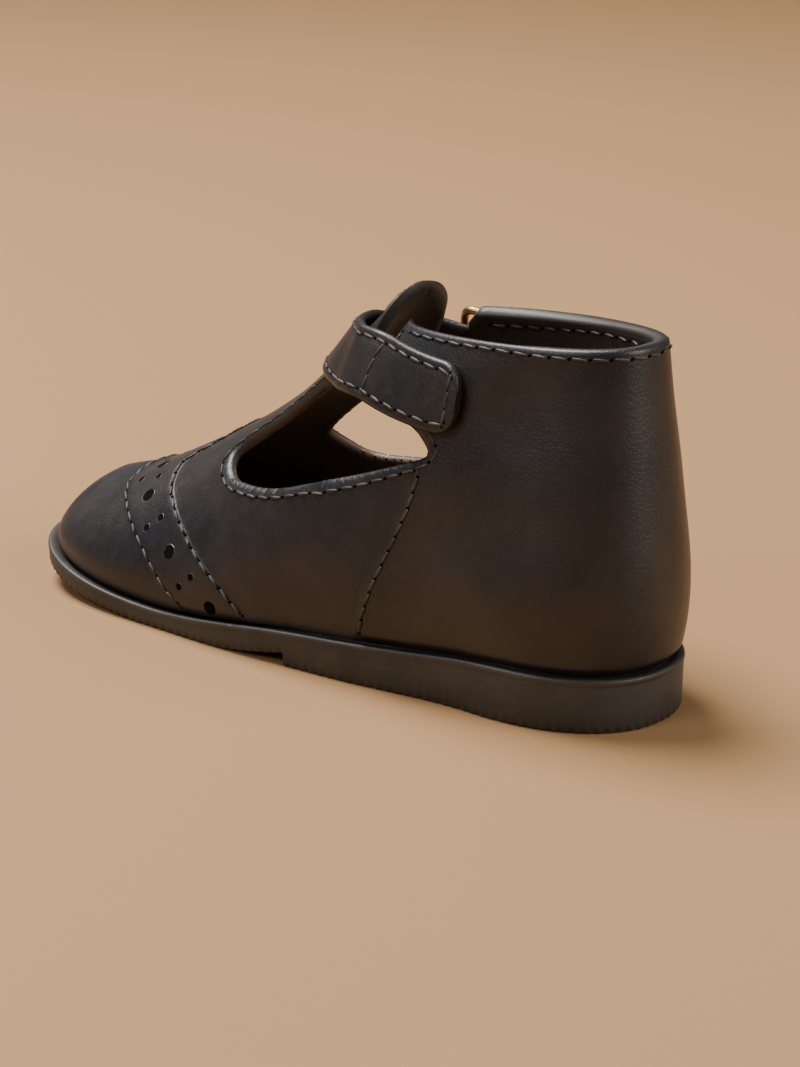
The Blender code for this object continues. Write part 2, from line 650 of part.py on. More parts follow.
def strap_guide(tree):
    """The strap's middle line on the upper, inner end first, with its axes and the buckle's place."""
    points, normals = strap_path(tree)
    line, normal, at = resample(points, soften(normals, 6), 0.0019)
    spans = (line[:, 0] > QUARTER_FRONT - 0.0010) & (np.abs(line[:, 1]) > BAR_WIDTH / 2 + 0.0016)
    rests = ~spans
    for values in (line, normal):
        for i in range(3):
            values[:, i] = smooth_curve(at, np.column_stack([at[rests], values[rests, i]]))
    normal /= np.linalg.norm(normal, axis=1, keepdims=True)
    held = np.where(rests, 1.0, soften(np.where(rests, 1.0, 0.0), 2))
    inner_start = np.argmax((line[:, 0] > STRAP_START) & (line[:, 1] > 0))
    outer_end = len(line) - np.argmax(((line[:, 0] > STRAP_TAIL) & (line[:, 1] < 0))[::-1])
    line, normal = line[inner_start:outer_end], normal[inner_start:outer_end]
    at, held = at[inner_start:outer_end], held[inner_start:outer_end]
    ahead = np.gradient(line, axis=0)
    ahead /= np.linalg.norm(ahead, axis=1, keepdims=True)
    across = np.cross(ahead, normal)
    across /= np.linalg.norm(across, axis=1, keepdims=True)
    at = at - at[0]
    buckle = at[np.argmin(np.abs(line[:, 0] - BUCKLE_AT) + (line[:, 1] > 0))]
    return {"line": line, "normal": np.cross(across, ahead), "ahead": ahead, "across": across, "at": at, "held": held,
            "front_bar": buckle - BUCKLE_LENGTH / 2, "rear_bar": buckle + BUCKLE_LENGTH / 2}


def on_guide(guide, at, height):
    """Point over the strap's line at a distance along it, with the axes there."""
    pick = [np.array([np.interp(at, guide["at"], guide[key][:, i]) for i in range(3)])
            for key in ("line", "ahead", "across", "normal")]
    line, ahead, across, normal = pick
    ahead, across, normal = (v / np.linalg.norm(v) for v in (ahead, across, normal))
    return line + normal * height, ahead, across, normal


def make_strap(guide, tree, leather):
    at = guide["at"]
    total = at[-1]
    front_bar, rear_bar = guide["front_bar"], guide["rear_bar"]
    over_quarter = QUARTER_STEP + 2 * CLEARANCE
    over_fold = bar_height() + BUCKLE_WIRE / 2 + 2 * CLEARANCE + BUCKLE_TAB_LEATHER - over_quarter
    over_layers = 2 * BUCKLE_TAB_LEATHER + 2 * CLEARANCE
    past_tab = rear_bar + BUCKLE_TAB_LENGTH
    lift = (over_fold * smoothstep((at - front_bar - BUCKLE_WIRE) / (BUCKLE_LENGTH - 2 * BUCKLE_WIRE))
            - (over_fold - over_layers) * smoothstep((at - rear_bar - 0.002) / 0.005)
            - over_layers * smoothstep((at - past_tab - 0.0025) / 0.004))
    bare = guide["line"][:, 0] - QUARTER_FRONT
    base = over_quarter - (QUARTER_STEP - CLEARANCE) * smoothstep((bare - 0.002) / 0.006)
    width = STRAP_WIDTH + (STRAP_TIP_WIDTH - STRAP_WIDTH) * smoothstep((at - 0.45 * total) / (0.2 * total))
    corner = 0.0042
    start = np.clip(1 - at / corner, 0, 1)
    half = width / 2 - corner * (1 - np.sqrt(1 - 0.98 * start ** 2))
    end = np.clip(1 - (total - at) / STRAP_TIP_WIDTH * 1.6, 0, 1)
    half = half * np.sqrt(1 - 0.93 * end ** 2)
    height = base + lift + STRAP_THICKNESS / 2
    centre = guide["line"] + guide["normal"] * height[:, None]
    strap = ribbon("ankle_strap", centre, guide["across"], guide["normal"], half, STRAP_THICKNESS, leather,
                   tree, height, guide["held"])
    slot = 1.2 * PRONG_WIRE
    front = front_bar + BUCKLE_WIRE + CLEARANCE
    place, ahead, across, normal = on_guide(guide, (front + rear_bar + PRONG_WIRE) / 2, over_fold)
    length = (rear_bar + PRONG_WIRE - front) / 2

    def through(s, w, h):
        return tuple(place + ahead * s + across * w + normal * h)
    sides = [(-length, -0.008), (length, -0.008), (length, 0.008), (-length, 0.008)]
    cut(strap, prism("prong_slot", sides, -slot, slot, through))
    return strap


def buckle_axes(guide):
    """Hinge bar and front bar of the buckle: their middles and the frame's own axes."""
    strap_top = QUARTER_STEP + 2 * CLEARANCE + STRAP_THICKNESS
    hinge, _, across, normal = on_guide(guide, guide["rear_bar"], bar_height())
    front, _, front_across, _ = on_guide(guide, guide["front_bar"], strap_top + BUCKLE_PLAY + BUCKLE_WIRE / 2)
    across = across + front_across
    forward = front - hinge
    length = np.linalg.norm(forward)
    forward /= length
    across = across - forward * np.dot(across, forward)
    across /= np.linalg.norm(across)
    up = np.cross(forward, across)
    up *= np.sign(np.dot(up, normal))
    return hinge, forward, across, up, length


def make_buckle(guide, tree, brass, leather):
    hinge, forward, across, up, length = buckle_axes(guide)
    half = STRAP_TIP_WIDTH / 2 + BUCKLE_PLAY + BUCKLE_WIRE / 2
    outline_points = rounded([(0, -half, 0.0016), (length, -half, 0.0022), (length, half, 0.0022),
                              (0, half, 0.0016)], steps=5)
    path = []
    for i, (f, w) in enumerate(outline_points):
        after = outline_points[(i + 1) % len(outline_points)]
        path += [(f + (after[0] - f) * s, w + (after[1] - w) * s) for s in
                 ((0, 0.5) if np.hypot(after[0] - f, after[1] - w) > 0.003 else (0,))]
    frame = [hinge + forward * f + across * w for f, w in path]
    tube("buckle_frame", frame, BUCKLE_WIRE / 2, brass, closed=True)
    eye = BUCKLE_WIRE / 2 + CLEARANCE + PRONG_WIRE / 2
    prong = [hinge + eye * (-forward * np.sin(a) + up * np.cos(a)) for a in np.linspace(2.6, 0, 10)]
    prong += [hinge + up * eye + forward * f for f in np.linspace(0.25, 1, 5) * (length + 0.0012)]
    tube("buckle_prong", prong, PRONG_WIRE / 2, brass, closed=False)
    bend = BUCKLE_WIRE / 2 + CLEARANCE + BUCKLE_TAB_LEATHER / 2
    low = QUARTER_STEP + 2 * CLEARANCE + BUCKLE_TAB_LEATHER / 2
    high = low + BUCKLE_TAB_LEATHER + CLEARANCE
    crest = bar_height() + bend
    back = np.linspace(BUCKLE_TAB_LENGTH, 0.0020, 7)
    rise = crest - (crest - high) * smoothstep((back - 0.0020) / 0.0030)
    _, ahead, _, normal = on_guide(guide, guide["rear_bar"], 0)
    points, sides, heights = [], [], []
    for b in back:
        place, _, side, _ = on_guide(guide, guide["rear_bar"] + b, low)
        points.append(place)
        sides.append(side)
        heights.append(low)
    for a in np.linspace(0, np.pi, 9):
        points.append(hinge + bend * (-ahead * np.sin(a) - normal * np.cos(a)))
        sides.append(across)
        heights.append(0.0)
    for b, level in zip(back[::-1], rise[::-1]):
        place, _, side, _ = on_guide(guide, guide["rear_bar"] + b, level)
        points.append(place)
        sides.append(side)
        heights.append(level)
    points, sides = np.array(points), np.array(sides)
    along = np.gradient(points, axis=0)
    along /= np.linalg.norm(along, axis=1, keepdims=True)
    outward = np.cross(along, sides)
    outward /= np.linalg.norm(outward, axis=1, keepdims=True)
    widths = np.full(len(points), STRAP_TIP_WIDTH / 2 - 2 * CLEARANCE)
    held = (np.array(heights) > 0) * 1.0
    tab = ribbon("buckle_tab", points, sides, outward, widths, BUCKLE_TAB_LEATHER, leather, tree, heights, held)
    notch = PRONG_WIRE / 2 + 2 * CLEARANCE

    def at_hinge(f, w, h):
        return tuple(hinge + forward * f + across * w + up * h)
    reach = eye + PRONG_WIRE
    cut(tab, prism("prong_notch", [(-reach, -0.01), (reach, -0.01), (reach, 0.01), (-reach, 0.01)],
                   -notch, notch, at_hinge))


def build():
    clear_scene()
    leather = leather_like("upper_leather", (0.022, 0.020, 0.024), 0.38)
    strap_leather = leather_like("strap_leather", (0.022, 0.020, 0.024), 0.38)
    brass = leather_like("buckle_brass", (0.42, 0.28, 0.12), 0.35, 1.0)
    shoe = bpy.data.objects.new("shoe", None)
    bpy.context.scene.collection.objects.link(shoe)
    shoe.location = (-HEEL_REST_AT, 0, 0)
    make_outsole()
    make_insole()
    upper = make_upper(leather)
    cut_openings(upper)
    tree = outer_tree()
    guide = strap_guide(tree)
    make_strap(guide, tree, strap_leather)
    make_buckle(guide, tree, brass, strap_leather)
    for item in bpy.context.scene.collection.objects:
        if item is not shoe:
            item.parent = shoe


build()
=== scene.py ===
import bpy
import numpy as np
from mathutils import Matrix, Vector
from mathutils.bvhtree import BVHTree


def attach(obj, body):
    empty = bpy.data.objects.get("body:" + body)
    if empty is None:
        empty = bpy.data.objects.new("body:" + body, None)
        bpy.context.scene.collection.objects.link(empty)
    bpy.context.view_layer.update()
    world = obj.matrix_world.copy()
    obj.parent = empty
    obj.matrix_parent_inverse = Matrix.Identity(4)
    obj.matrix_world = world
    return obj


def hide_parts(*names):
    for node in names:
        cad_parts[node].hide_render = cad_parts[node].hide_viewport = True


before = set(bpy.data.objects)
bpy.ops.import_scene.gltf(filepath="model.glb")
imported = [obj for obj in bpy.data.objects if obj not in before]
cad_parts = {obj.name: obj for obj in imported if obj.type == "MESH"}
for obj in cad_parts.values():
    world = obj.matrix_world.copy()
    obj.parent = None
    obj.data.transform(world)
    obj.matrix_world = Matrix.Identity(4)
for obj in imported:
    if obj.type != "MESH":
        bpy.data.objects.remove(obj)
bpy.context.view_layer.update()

# the last and the sole share these sizes; x is counted from the heel's back and moved by heelRest at the end
last = dict(length=0.140, heelWidth=0.040, waistWidth=0.0496, ballInner=0.02825, ballOuter=0.0295, ballAt=0.090,
            heelRound=0.0285, toeRound=0.0395, toeShift=0.0045, heelHeight=0.0098, foreHeight=0.0037,
            toeSpring=0.0056, breastAt=0.066, breastRise=0.0024, treadFrom=0.083, treadTo=0.095,
            ledge=0.0017, toeLedge=0.0024, heelRest=0.0220, gap=0.0003)

upperSize = dict(wall=0.0020, collarBack=0.0060, collarFront=0.0520, collarWidth=0.0266, collarHeight=0.0661,
                 collarDrop=0.0028, instep=0.0397, toeBox=0.0207, toeBoxAt=0.1285, heelBulge=0.0016,
                 quarterStep=0.0008, bandStep=0.0003, barWidth=0.0230, tabWidth=0.0187, tabHeight=0.0690,
                 cutFront=0.0920, cutBack=0.0375, outerDrop=0.0024, barFlare=0.0025,
                 quarterFront=0.0530, slotTurn=0.455, slotHalf=0.0038)
quarterFront, quarterStep, slotTurn = (upperSize[key] for key in ("quarterFront", "quarterStep", "slotTurn"))


def smoothCurve(x, rows):  # monotone cubic through rows of (place, value)
    xs, ys = np.array(rows, float).T
    step = np.diff(xs)
    slope = np.diff(ys) / step
    tangent = np.zeros_like(ys)
    same = slope[:-1] * slope[1:] > 0
    before, after = 2 * step[1:] + step[:-1], step[1:] + 2 * step[:-1]
    low, high = np.where(same, slope[:-1], 1.0), np.where(same, slope[1:], 1.0)
    tangent[1:-1] = np.where(same, (before + after) / (before / low + after / high), 0.0)
    tangent[0], tangent[-1] = slope[0], slope[-1]
    x = np.clip(x, xs[0], xs[-1])
    i = np.clip(np.searchsorted(xs, x, side="right") - 1, 0, len(xs) - 2)
    t = (x - xs[i]) / step[i]
    return ((1 + 2 * t) * (1 - t) ** 2 * ys[i] + t * (1 - t) ** 2 * step[i] * tangent[i]
            + t * t * (3 - 2 * t) * ys[i + 1] + t * t * (t - 1) * step[i] * tangent[i + 1])


def smoothStep(x):
    x = np.clip(x, 0, 1)
    return x * x * (3 - 2 * x)


def unit(v):
    return v / np.maximum(np.linalg.norm(v, axis=-1, keepdims=True), 1e-12)


def soften(values, passes):  # each inner row moves to the middle of itself and its neighbours
    for _ in range(passes):
        values[1:-1] = 0.25 * values[:-2] + 0.5 * values[1:-1] + 0.25 * values[2:]
    return values


def pathLength(points):  # length of a line up to each of its points
    return np.concatenate([[0], np.cumsum(np.linalg.norm(np.diff(points, axis=0), axis=1))])


def pointAt(s, marks, points):  # the point at s on a line whose points stand at these marks
    return np.stack([np.interp(s, marks, points[:, i]) for i in range(3)], -1)


def gridQuads(index):  # one face between each two columns of a grid that closes on itself
    onward = np.roll(index, -1, axis=0)
    return np.stack([index[:, :-1], onward[:, :-1], onward[:, 1:], index[:, 1:]], -1).reshape(-1, 4)


# the sole's outline: half width is a body curve times a superellipse round at the heel and another at the toe
def alongSole(turn):
    return last["length"] / 2 * (1 - np.cos(np.pi * turn))


def toeShift(x):
    return last["toeShift"] * np.clip((x - 0.57 * last["length"]) / (0.43 * last["length"]), 0, 1) ** 2


def halfWidth(x, side):
    size, ball = last["length"], last["ballInner"] if side > 0 else last["ballOuter"]
    body = smoothCurve(x, [(0.0, last["heelWidth"] / 2), (0.19 * size, last["heelWidth"] / 2),
                           (0.40 * size, last["waistWidth"] / 2), (last["ballAt"], ball), (size, ball)])
    heel = 1 - np.clip(1 - x / last["heelRound"], 0, 1) ** 2.26
    toe = 1 - np.clip(1 - (size - x) / last["toeRound"], 0, 1) ** 2.54
    return body * heel ** (1 / 2.26) * toe ** (1 / 2.54)


def outline(turn, side, inset=0.0):
    def edge(u):
        x = alongSole(u)
        return np.stack([x, side * halfWidth(x, side) + toeShift(x)], -1)
    turn = np.asarray(turn, float)
    ahead = edge(np.clip(turn + 1e-4, 0, 1)) - edge(np.clip(turn - 1e-4, 0, 1))
    ahead[turn <= 0] = (0, side)
    ahead[turn >= 1] = (0, -side)
    ahead = unit(ahead)
    outward = np.stack([-ahead[:, 1], ahead[:, 0]], -1) * side
    return edge(turn) - inset * outward, outward


def spring(x):
    return last["toeSpring"] * np.clip((x - last["treadTo"]) / (last["length"] - last["treadTo"]), 0, 1.05) ** 2


def soleTop(x):
    size, heel, fore = last["length"], last["heelHeight"], last["foreHeight"]
    return spring(x) + smoothCurve(x, [(0.0, heel), (0.13 * size, heel),
                                       (0.293 * size, 0.745 * heel + 0.255 * fore),
                                       (last["breastAt"], 0.56 * heel + 0.31 * fore),
                                       (last["treadTo"] + 0.03 * size, fore), (size, fore)])


def soleBottom(x):
    arch = np.clip((last["treadFrom"] - x) / (last["treadFrom"] - last["breastAt"]), 0, 1)
    return np.where(x <= last["breastAt"], 0.0, last["breastRise"] * arch ** 1.5) + spring(x)


def ledgeAt(turn):
    share = np.clip((alongSole(np.asarray(turn)) / last["length"] - 0.72) / 0.28, 0, 1)
    return (last["ledge"] + (last["toeLedge"] - last["ledge"]) * share)[..., None]


# columns of the upper: place round the outline, place on the top line, roundness, arc and bulge
columnNames = ("turn", "reach", "fullness", "arc", "bulge")
columnRows = [(0.000, 0.00, 1.60, 0.55, 1.0), (0.200, 0.22, 1.60, 0.55, 1.0), (0.320, 0.40, 1.70, 0.55, 1.0),
              (0.390, 0.53, 1.75, 0.60, 1.0), (0.450, 1.00, 1.80, 0.80, 1.0), (0.475, 1.20, 1.80, 1.00, 1.0),
              (0.640, 1.52, 1.75, 1.00, 0.9), (0.780, 1.76, 2.00, 1.00, 0.5), (1.000, 2.00, 2.60, 1.00, 0.1)]


def columnValue(turn, name):
    return smoothCurve(turn, [(row[0], row[columnNames.index(name)]) for row in columnRows])


def ridgeHeight(x):  # the upper's middle line, from the tab's end down the instep to the toe box
    u = upperSize
    start, toeAt, front = u["collarFront"] + 0.003, u["toeBoxAt"], u["cutFront"]
    run, fall = front - 0.0025 - start, u["tabHeight"] - u["instep"]
    high, middle, low = u["tabHeight"], u["instep"], u["toeBox"]
    return smoothCurve(x, [(start, high + 0.068 * fall), (start + 0.377 * run, high - 0.375 * fall),
                           (start + 0.710 * run, high - 0.75 * fall), (start + run, middle),
                           (0.62 * front + 0.38 * toeAt, 0.48 * middle + 0.52 * low),
                           (0.25 * front + 0.75 * toeAt, 0.14 * middle + 0.86 * low), (toeAt, low)])


def topLine(reach, side):  # round the collar's oval, over the tab's end, then down the ridge
    u = upperSize
    turn = np.clip(reach, 0, 1)
    oval = (u["collarFront"] - u["collarBack"]) / (1 - np.cos(0.83 * np.pi))
    x = u["collarBack"] + oval * (1 - np.cos(0.83 * np.pi * turn))
    y = u["collarWidth"] / 2 * np.sin(np.pi * 0.83 * turn) ** 0.78
    corner = u["collarWidth"] / 2 * np.sin(0.83 * np.pi) ** 0.78
    y = np.where(turn > 0.6, np.maximum(y, corner), y)
    z = u["collarHeight"] - u["collarDrop"] * (x - u["collarBack"]) / (u["collarFront"] - u["collarBack"])
    over = np.clip((reach - 1) / 0.2, 0, 1)
    tabX = u["collarFront"] + 0.003
    tabZ = ridgeHeight(np.array([tabX]))[0]
    cornerZ = u["collarHeight"] - u["collarDrop"]
    x = np.where(over > 0, u["collarFront"] + (tabX - u["collarFront"]) * over, x)
    y = np.where(over > 0, corner * np.cos(over * np.pi / 2), y)
    z = np.where(over > 0, cornerZ + (tabZ - cornerZ) * np.sin(over * np.pi / 2), z)
    ridgeX = tabX + (u["toeBoxAt"] - tabX) * np.clip((reach - 1.2) / 0.8, 0, 1)
    onRidge = reach >= 1.2
    x, y = np.where(onRidge, ridgeX, x), np.where(onRidge, 0.0, y)
    z = np.where(onRidge, ridgeHeight(ridgeX), z)
    return np.stack([x, side * y + toeShift(x), z], -1)


# a point goes in from the ledge by 1 - cos(a)^(2/n) and up by sin(a)^(2/n) towards the top line,
# sheared by the ridge's own slope, and out by a soft bulge low down
def upperPoints(turns, heights, side):
    foot, outward = outline(turns, side, ledgeAt(turns))
    footZ = soleTop(foot[:, 0]) + last["gap"]
    reach = columnValue(turns, "reach")
    top = topLine(reach, side)
    power = 2 / columnValue(turns, "fullness")[:, None]
    end = np.minimum(columnValue(turns, "arc"), 1)[:, None] * np.pi / 2
    angle = np.asarray(heights, float)[None, :] * end
    inward = (1 - np.maximum(np.cos(angle), 0) ** power) / (1 - np.maximum(np.cos(end), 0) ** power)
    upward = (np.sin(angle) / np.sin(end)) ** power
    inside = np.minimum(top[:, 0], upperSize["toeBoxAt"] - 0.001)
    slope = (ridgeHeight(inside - 0.001) - ridgeHeight(inside + 0.001)) / 0.002 * np.clip((reach - 1) / 0.2, 0, 1)
    shift = (slope * (foot[:, 0] - top[:, 0]))[:, None]
    x = foot[:, :1] + (top[:, :1] - foot[:, :1]) * inward
    y = foot[:, 1:] + (top[:, 1:2] - foot[:, 1:]) * inward
    z = footZ[:, None] + shift + (top[:, 2:] - footZ[:, None] - shift) * upward - shift * (1 - inward)
    bulge = upperSize["heelBulge"] * columnValue(turns, "bulge")[:, None] * upward * (1 - upward) ** 3 / 0.1055
    return np.stack([x + bulge * outward[:, :1], y + bulge * outward[:, 1:], z], -1)


def upperGrid(turns, heights):  # inner side from heel to toe, then outer side back to the heel
    return np.concatenate([upperPoints(turns, heights, 1), upperPoints(turns[-2:0:-1], heights, -1)])


def gridNormals(points, passes):
    around = np.roll(points, -1, axis=0) - np.roll(points, 1, axis=0)
    normal = unit(np.cross(np.gradient(points, axis=1), around))
    for _ in range(passes):
        normal = 0.25 * np.roll(normal, 1, axis=0) + 0.5 * normal + 0.25 * np.roll(normal, -1, axis=0)
        normal[:, 1:-1] = 0.25 * normal[:, :-2] + 0.5 * normal[:, 1:-1] + 0.25 * normal[:, 2:]
        normal = unit(normal)
    return normal


# meshes
def meshPiece(name, points, faces, material, slot, values=None, sharp=0.7, smooth=True):
    mesh = bpy.data.meshes.new(name)
    placed = np.asarray(points, float) - (last["heelRest"], 0, 0)
    mesh.from_pydata(placed.tolist(), [], [f for group in faces for f in np.asarray(group).tolist()])
    mesh.materials.append(material)
    if smooth:
        mesh.shade_smooth()
        mesh.set_sharp_from_angle(angle=sharp)
    for key, array in (values or {}).items():
        layer = mesh.attributes.new(key, "FLOAT", "POINT")
        layer.data.foreach_set("value", np.asarray(array, np.float32).ravel())
    item = bpy.data.objects.new(name, mesh)
    bpy.context.scene.collection.objects.link(item)
    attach(item, "root")
    return item


def loopFaces(rows, loop, flip=False):  # quads between closed rings of the same count
    base = np.arange(rows - 1)[:, None] * loop
    i = np.arange(loop)[None, :]
    j = (i + 1) % loop
    quad = np.stack([base + i, base + j, base + loop + j, base + loop + i], -1).reshape(-1, 4)
    return quad[:, ::-1] if flip else quad


def compact(points, faces, values):  # drops points that no face uses
    used = np.unique(np.concatenate([f.ravel() for f in faces]))
    number = np.full(len(points), -1)
    number[used] = np.arange(len(used))
    return points[used], [number[f] for f in faces], {k: v[used] for k, v in values.items()}


def polygonDistance(x, z, corners):  # distance to a closed outline, negative inside it
    a = np.array(corners, float)
    b = np.roll(a, -1, axis=0)
    p = np.stack([x.ravel(), z.ravel()], -1)
    best = np.full(len(p), 1e9)
    odd = np.zeros(len(p), bool)
    for start, end in zip(a, b):
        side = end - start
        t = np.clip(((p - start) @ side) / max(side @ side, 1e-18), 0, 1)
        best = np.minimum(best, np.linalg.norm(p - start - t[:, None] * side, axis=1))
        crosses = (start[1] > p[:, 1]) != (end[1] > p[:, 1])
        odd ^= crosses & (p[:, 0] < start[0] + (p[:, 1] - start[1]) * side[0] / (side[1] if side[1] else 1e-18))
    return np.where(odd, -best, best).reshape(x.shape)


def rounded(corners, steps=9):  # corners given as (x, z, radius)
    points = []
    for i, (x, z, radius) in enumerate(corners):
        here = np.array([x, z])
        start = here + unit(np.array(corners[i - 1][:2]) - here) * radius
        end = here + unit(np.array(corners[(i + 1) % len(corners)][:2]) - here) * radius
        points += [(1 - s) ** 2 * start + 2 * s * (1 - s) * here + s * s * end
                   for s in (np.linspace(0, 1, steps) if radius > 0 else (0,))]
    return points


throatLow = 0.60 * upperSize["instep"] + 0.0070


def throatLine(drop):  # the vamp's edge beside the T-bar, in the side view
    u = upperSize
    low = throatLow - drop
    return [(u["cutFront"], low + 0.0035, 0.0034), (u["cutFront"] - 0.0050, low - 0.0010, 0.0034),
            (0.80 * u["cutFront"], low, 0.0060), (0.55 * u["cutFront"], low + 0.0080, 0.0060)]


def aheadOfCut(low):  # closes an opening's outline above and in front of the T-bar's foot
    front = upperSize["cutFront"]
    return [(front + 0.015, 0.09, 0.0), (front + 0.001, low + 0.01, 0.0)]


def openingProfile(drop):  # the whole opening of one side: throat line, then up the quarter's front edge
    u = upperSize
    low, corner = throatLow - drop, u["collarHeight"] - u["collarDrop"]
    trim = 0.0038 if drop > 0 else 0.0  # the outer side's corner is cut back further, beside the buckle
    front = u["quarterFront"] + 0.0010
    return rounded(throatLine(drop) + [
        (u["cutBack"], low + 0.0132 + 0.5 * drop, 0.0022), (u["cutBack"] + 0.0040, low + 0.0172 + drop, 0.0024),
        (front - 0.0050, low + 0.0187 + drop, 0.0026), (front, low + 0.0215 + drop, 0.0026),
        (front, corner - 0.0012 - 0.5 * trim, 0.0026), (front - 0.0024 - trim, corner + 0.0024, 0.0),
        (front - 0.0024 - trim, 0.09, 0.0)] + aheadOfCut(low))


def wideProfile(drop):  # the same throat line with nothing behind it, for the T-bar's own columns
    u = upperSize
    low = throatLow - drop
    return rounded(throatLine(drop) + [(u["cutBack"], low + 0.0132 + 0.5 * drop, 0.002), (0.0, low + 0.030, 0.0),
                                       (0.0, 0.09, 0.0)] + aheadOfCut(low))


# perforations of the toe band, as places on the inner side: x, y, z and radius
holeRows = [(0.0834, 0.0270, 0.0072, 0.00135), (0.0952, 0.0259, 0.0150, 0.00135), (0.1078, 0.0191, 0.0218, 0.00135),
            (0.1128, 0.0105, 0.0249, 0.00135), (0.0910, 0.0275, 0.0096, 0.00068), (0.0882, 0.0271, 0.0120, 0.00068),
            (0.1033, 0.0239, 0.0175, 0.00068), (0.1008, 0.0226, 0.0197, 0.00068), (0.1143, 0.0150, 0.0228, 0.00068),
            (0.1092, 0.0150, 0.0243, 0.00068), (0.1165, 0.0058, 0.0240, 0.00068), (0.1115, 0.0050, 0.0260, 0.00068)]
# lines of the toe band and of the quarter's seam in the side view, as height and place along the shoe
bandFrontRows = [(0.004, 0.0885), (0.0057, 0.0908), (0.0083, 0.0946), (0.0130, 0.1007), (0.0158, 0.1054),
                 (0.0183, 0.1104), (0.0208, 0.1168), (0.0222, 0.1210), (0.0300, 0.1220)]
bandBackRows = [(0.004, 0.0725), (0.0062, 0.0749), (0.0087, 0.0776), (0.0125, 0.0824), (0.0171, 0.0899),
                (0.0201, 0.0952), (0.0230, 0.1003), (0.0256, 0.1042), (0.0275, 0.1058), (0.0360, 0.1058)]
seamRows = [(0.004, 0.0518), (0.009, 0.0509), (0.0126, 0.0500), (0.0161, 0.0488), (0.0193, 0.0477),
            (0.0223, 0.0464), (0.0254, 0.0452), (0.0285, 0.0439), (0.0322, 0.0425), (0.0350, 0.0415),
            (0.0380, 0.0408), (0.0420, 0.0400)]


def bandDistances(p):  # from the front line and the back line of the toe band, positive inside
    y = np.abs(p[..., 1] - toeShift(p[..., 0]))
    front = smoothCurve(p[..., 2], bandFrontRows)
    back = smoothCurve(p[..., 2], bandBackRows) - 0.0100 * smoothStep((0.0125 - y) / 0.0125)
    return (front - p[..., 0]) * 0.86, (p[..., 0] - back) * 0.86


print("surface of the upper")
turns = np.concatenate([np.linspace(0, 0.345, 56), np.linspace(0.349, 0.425, 44), np.linspace(0.428, 0.446, 8),
                        np.linspace(0.448, 0.478, 26), np.linspace(0.4815, 0.62, 52), np.linspace(0.6235, 1, 104)])
heights = np.concatenate([np.linspace(0, 0.90, 62), np.linspace(0.912, 1, 10)])
base = upperGrid(turns, heights)
# under the T-bar's foot the vamp has no ridge: it is blended there with a copy softened along the shoe
evenTurns = np.linspace(0.33, 0.63, 121)
count, rows = len(turns), len(heights)
loop = 2 * count - 2
innerSide = np.arange(count)
outerSide = (loop - innerSide) % loop
for s, columns in ((1, innerSide), (-1, outerSide)):
    copy = soften(upperPoints(evenTurns, heights, s), 220)
    share = smoothStep((turns - 0.36) / 0.05) * smoothStep((0.60 - turns) / 0.05)
    at = np.interp(turns, evenTurns, np.arange(121.0))
    low = np.minimum(at.astype(int), 119)
    soft = copy[low] + (copy[low + 1] - copy[low]) * (at - low)[:, None, None]
    weight = share[:, None] * smoothStep((throatLow + 0.016 - base[columns][..., 2]) / 0.012)
    base[columns] += (weight * smoothStep(heights / 0.08))[..., None] * (soft - base[columns])
loopTurn = np.concatenate([turns, turns[-2:0:-1]])[:, None]
side = np.where(np.arange(loop) < count, 1.0, -1.0)[:, None]
ridgeFrom = int(np.argmax(turns >= 0.4749))
index = np.arange(loop * rows).reshape(loop, rows)
mirror = (loop - np.arange(loop)) % loop
pairs = np.arange(ridgeFrom, count)
index[mirror[pairs], -1] = index[pairs, -1]


def shareRidge(normal):  # both sides use one normal on the ridge
    normal = normal.copy()
    both = unit(normal[pairs, -2] + normal[mirror[pairs], -2])
    normal[pairs, -1] = both
    normal[mirror[pairs], -1] = both
    return normal


fineNormal = shareRidge(gridNormals(base, 14))
wallNormal = shareRidge(gridNormals(base, 160))

# how far each point is from the openings: positive where leather stays
x, y, z = base[..., 0], base[..., 1], base[..., 2]
outerCut = upperSize["outerDrop"] + 0.0010
opening, wide = (np.where(side < 0, polygonDistance(x, z, profile(outerCut)), polygonDistance(x, z, profile(0.0)))
                 for profile in (openingProfile, wideProfile))
alongTab = (-(x - upperSize["collarFront"] - 0.0045) + (z - upperSize["tabHeight"])) / np.sqrt(2)
flare = upperSize["barFlare"] * np.clip((x - upperSize["cutFront"]) / 0.012 + 1, 0, 1) ** 2
tabHalf = upperSize["tabWidth"] / 2
narrower = (upperSize["barWidth"] / 2 - tabHalf) * smoothStep((alongTab + 0.016) / 0.010)
bar = upperSize["barWidth"] / 2 + flare - narrower - np.abs(y)
nearMiddle = np.abs(y) < 0.0125
ellipse = np.sqrt((y / tabHalf) ** 2 + ((alongTab + 0.75 * tabHalf) / (0.75 * tabHalf)) ** 2)
tabTop = np.where(alongTab > -0.75 * tabHalf, (1 - ellipse) * 0.8 * tabHalf, 0.02)
turnStep = np.maximum(np.abs(np.gradient(loopTurn[:, 0]))[:, None], 1e-6)
perTurn = np.linalg.norm(np.gradient(base, axis=0), axis=-1) / turnStep
slot = (np.abs(loopTurn - slotTurn) - upperSize["slotHalf"]) * perTurn
soft = 0.0012
# the larger of two distances, rounded where they are alike, at the corner between throat and T-bar
blendMax = 0.5 * (wide + bar + np.sqrt((wide - bar) ** 2 + soft ** 2))
field = np.where(loopTurn < slotTurn, opening, blendMax)
field = np.minimum(field, np.maximum(wide, slot))
field = np.where(loopTurn >= slotTurn, np.minimum(field, tabTop), field)

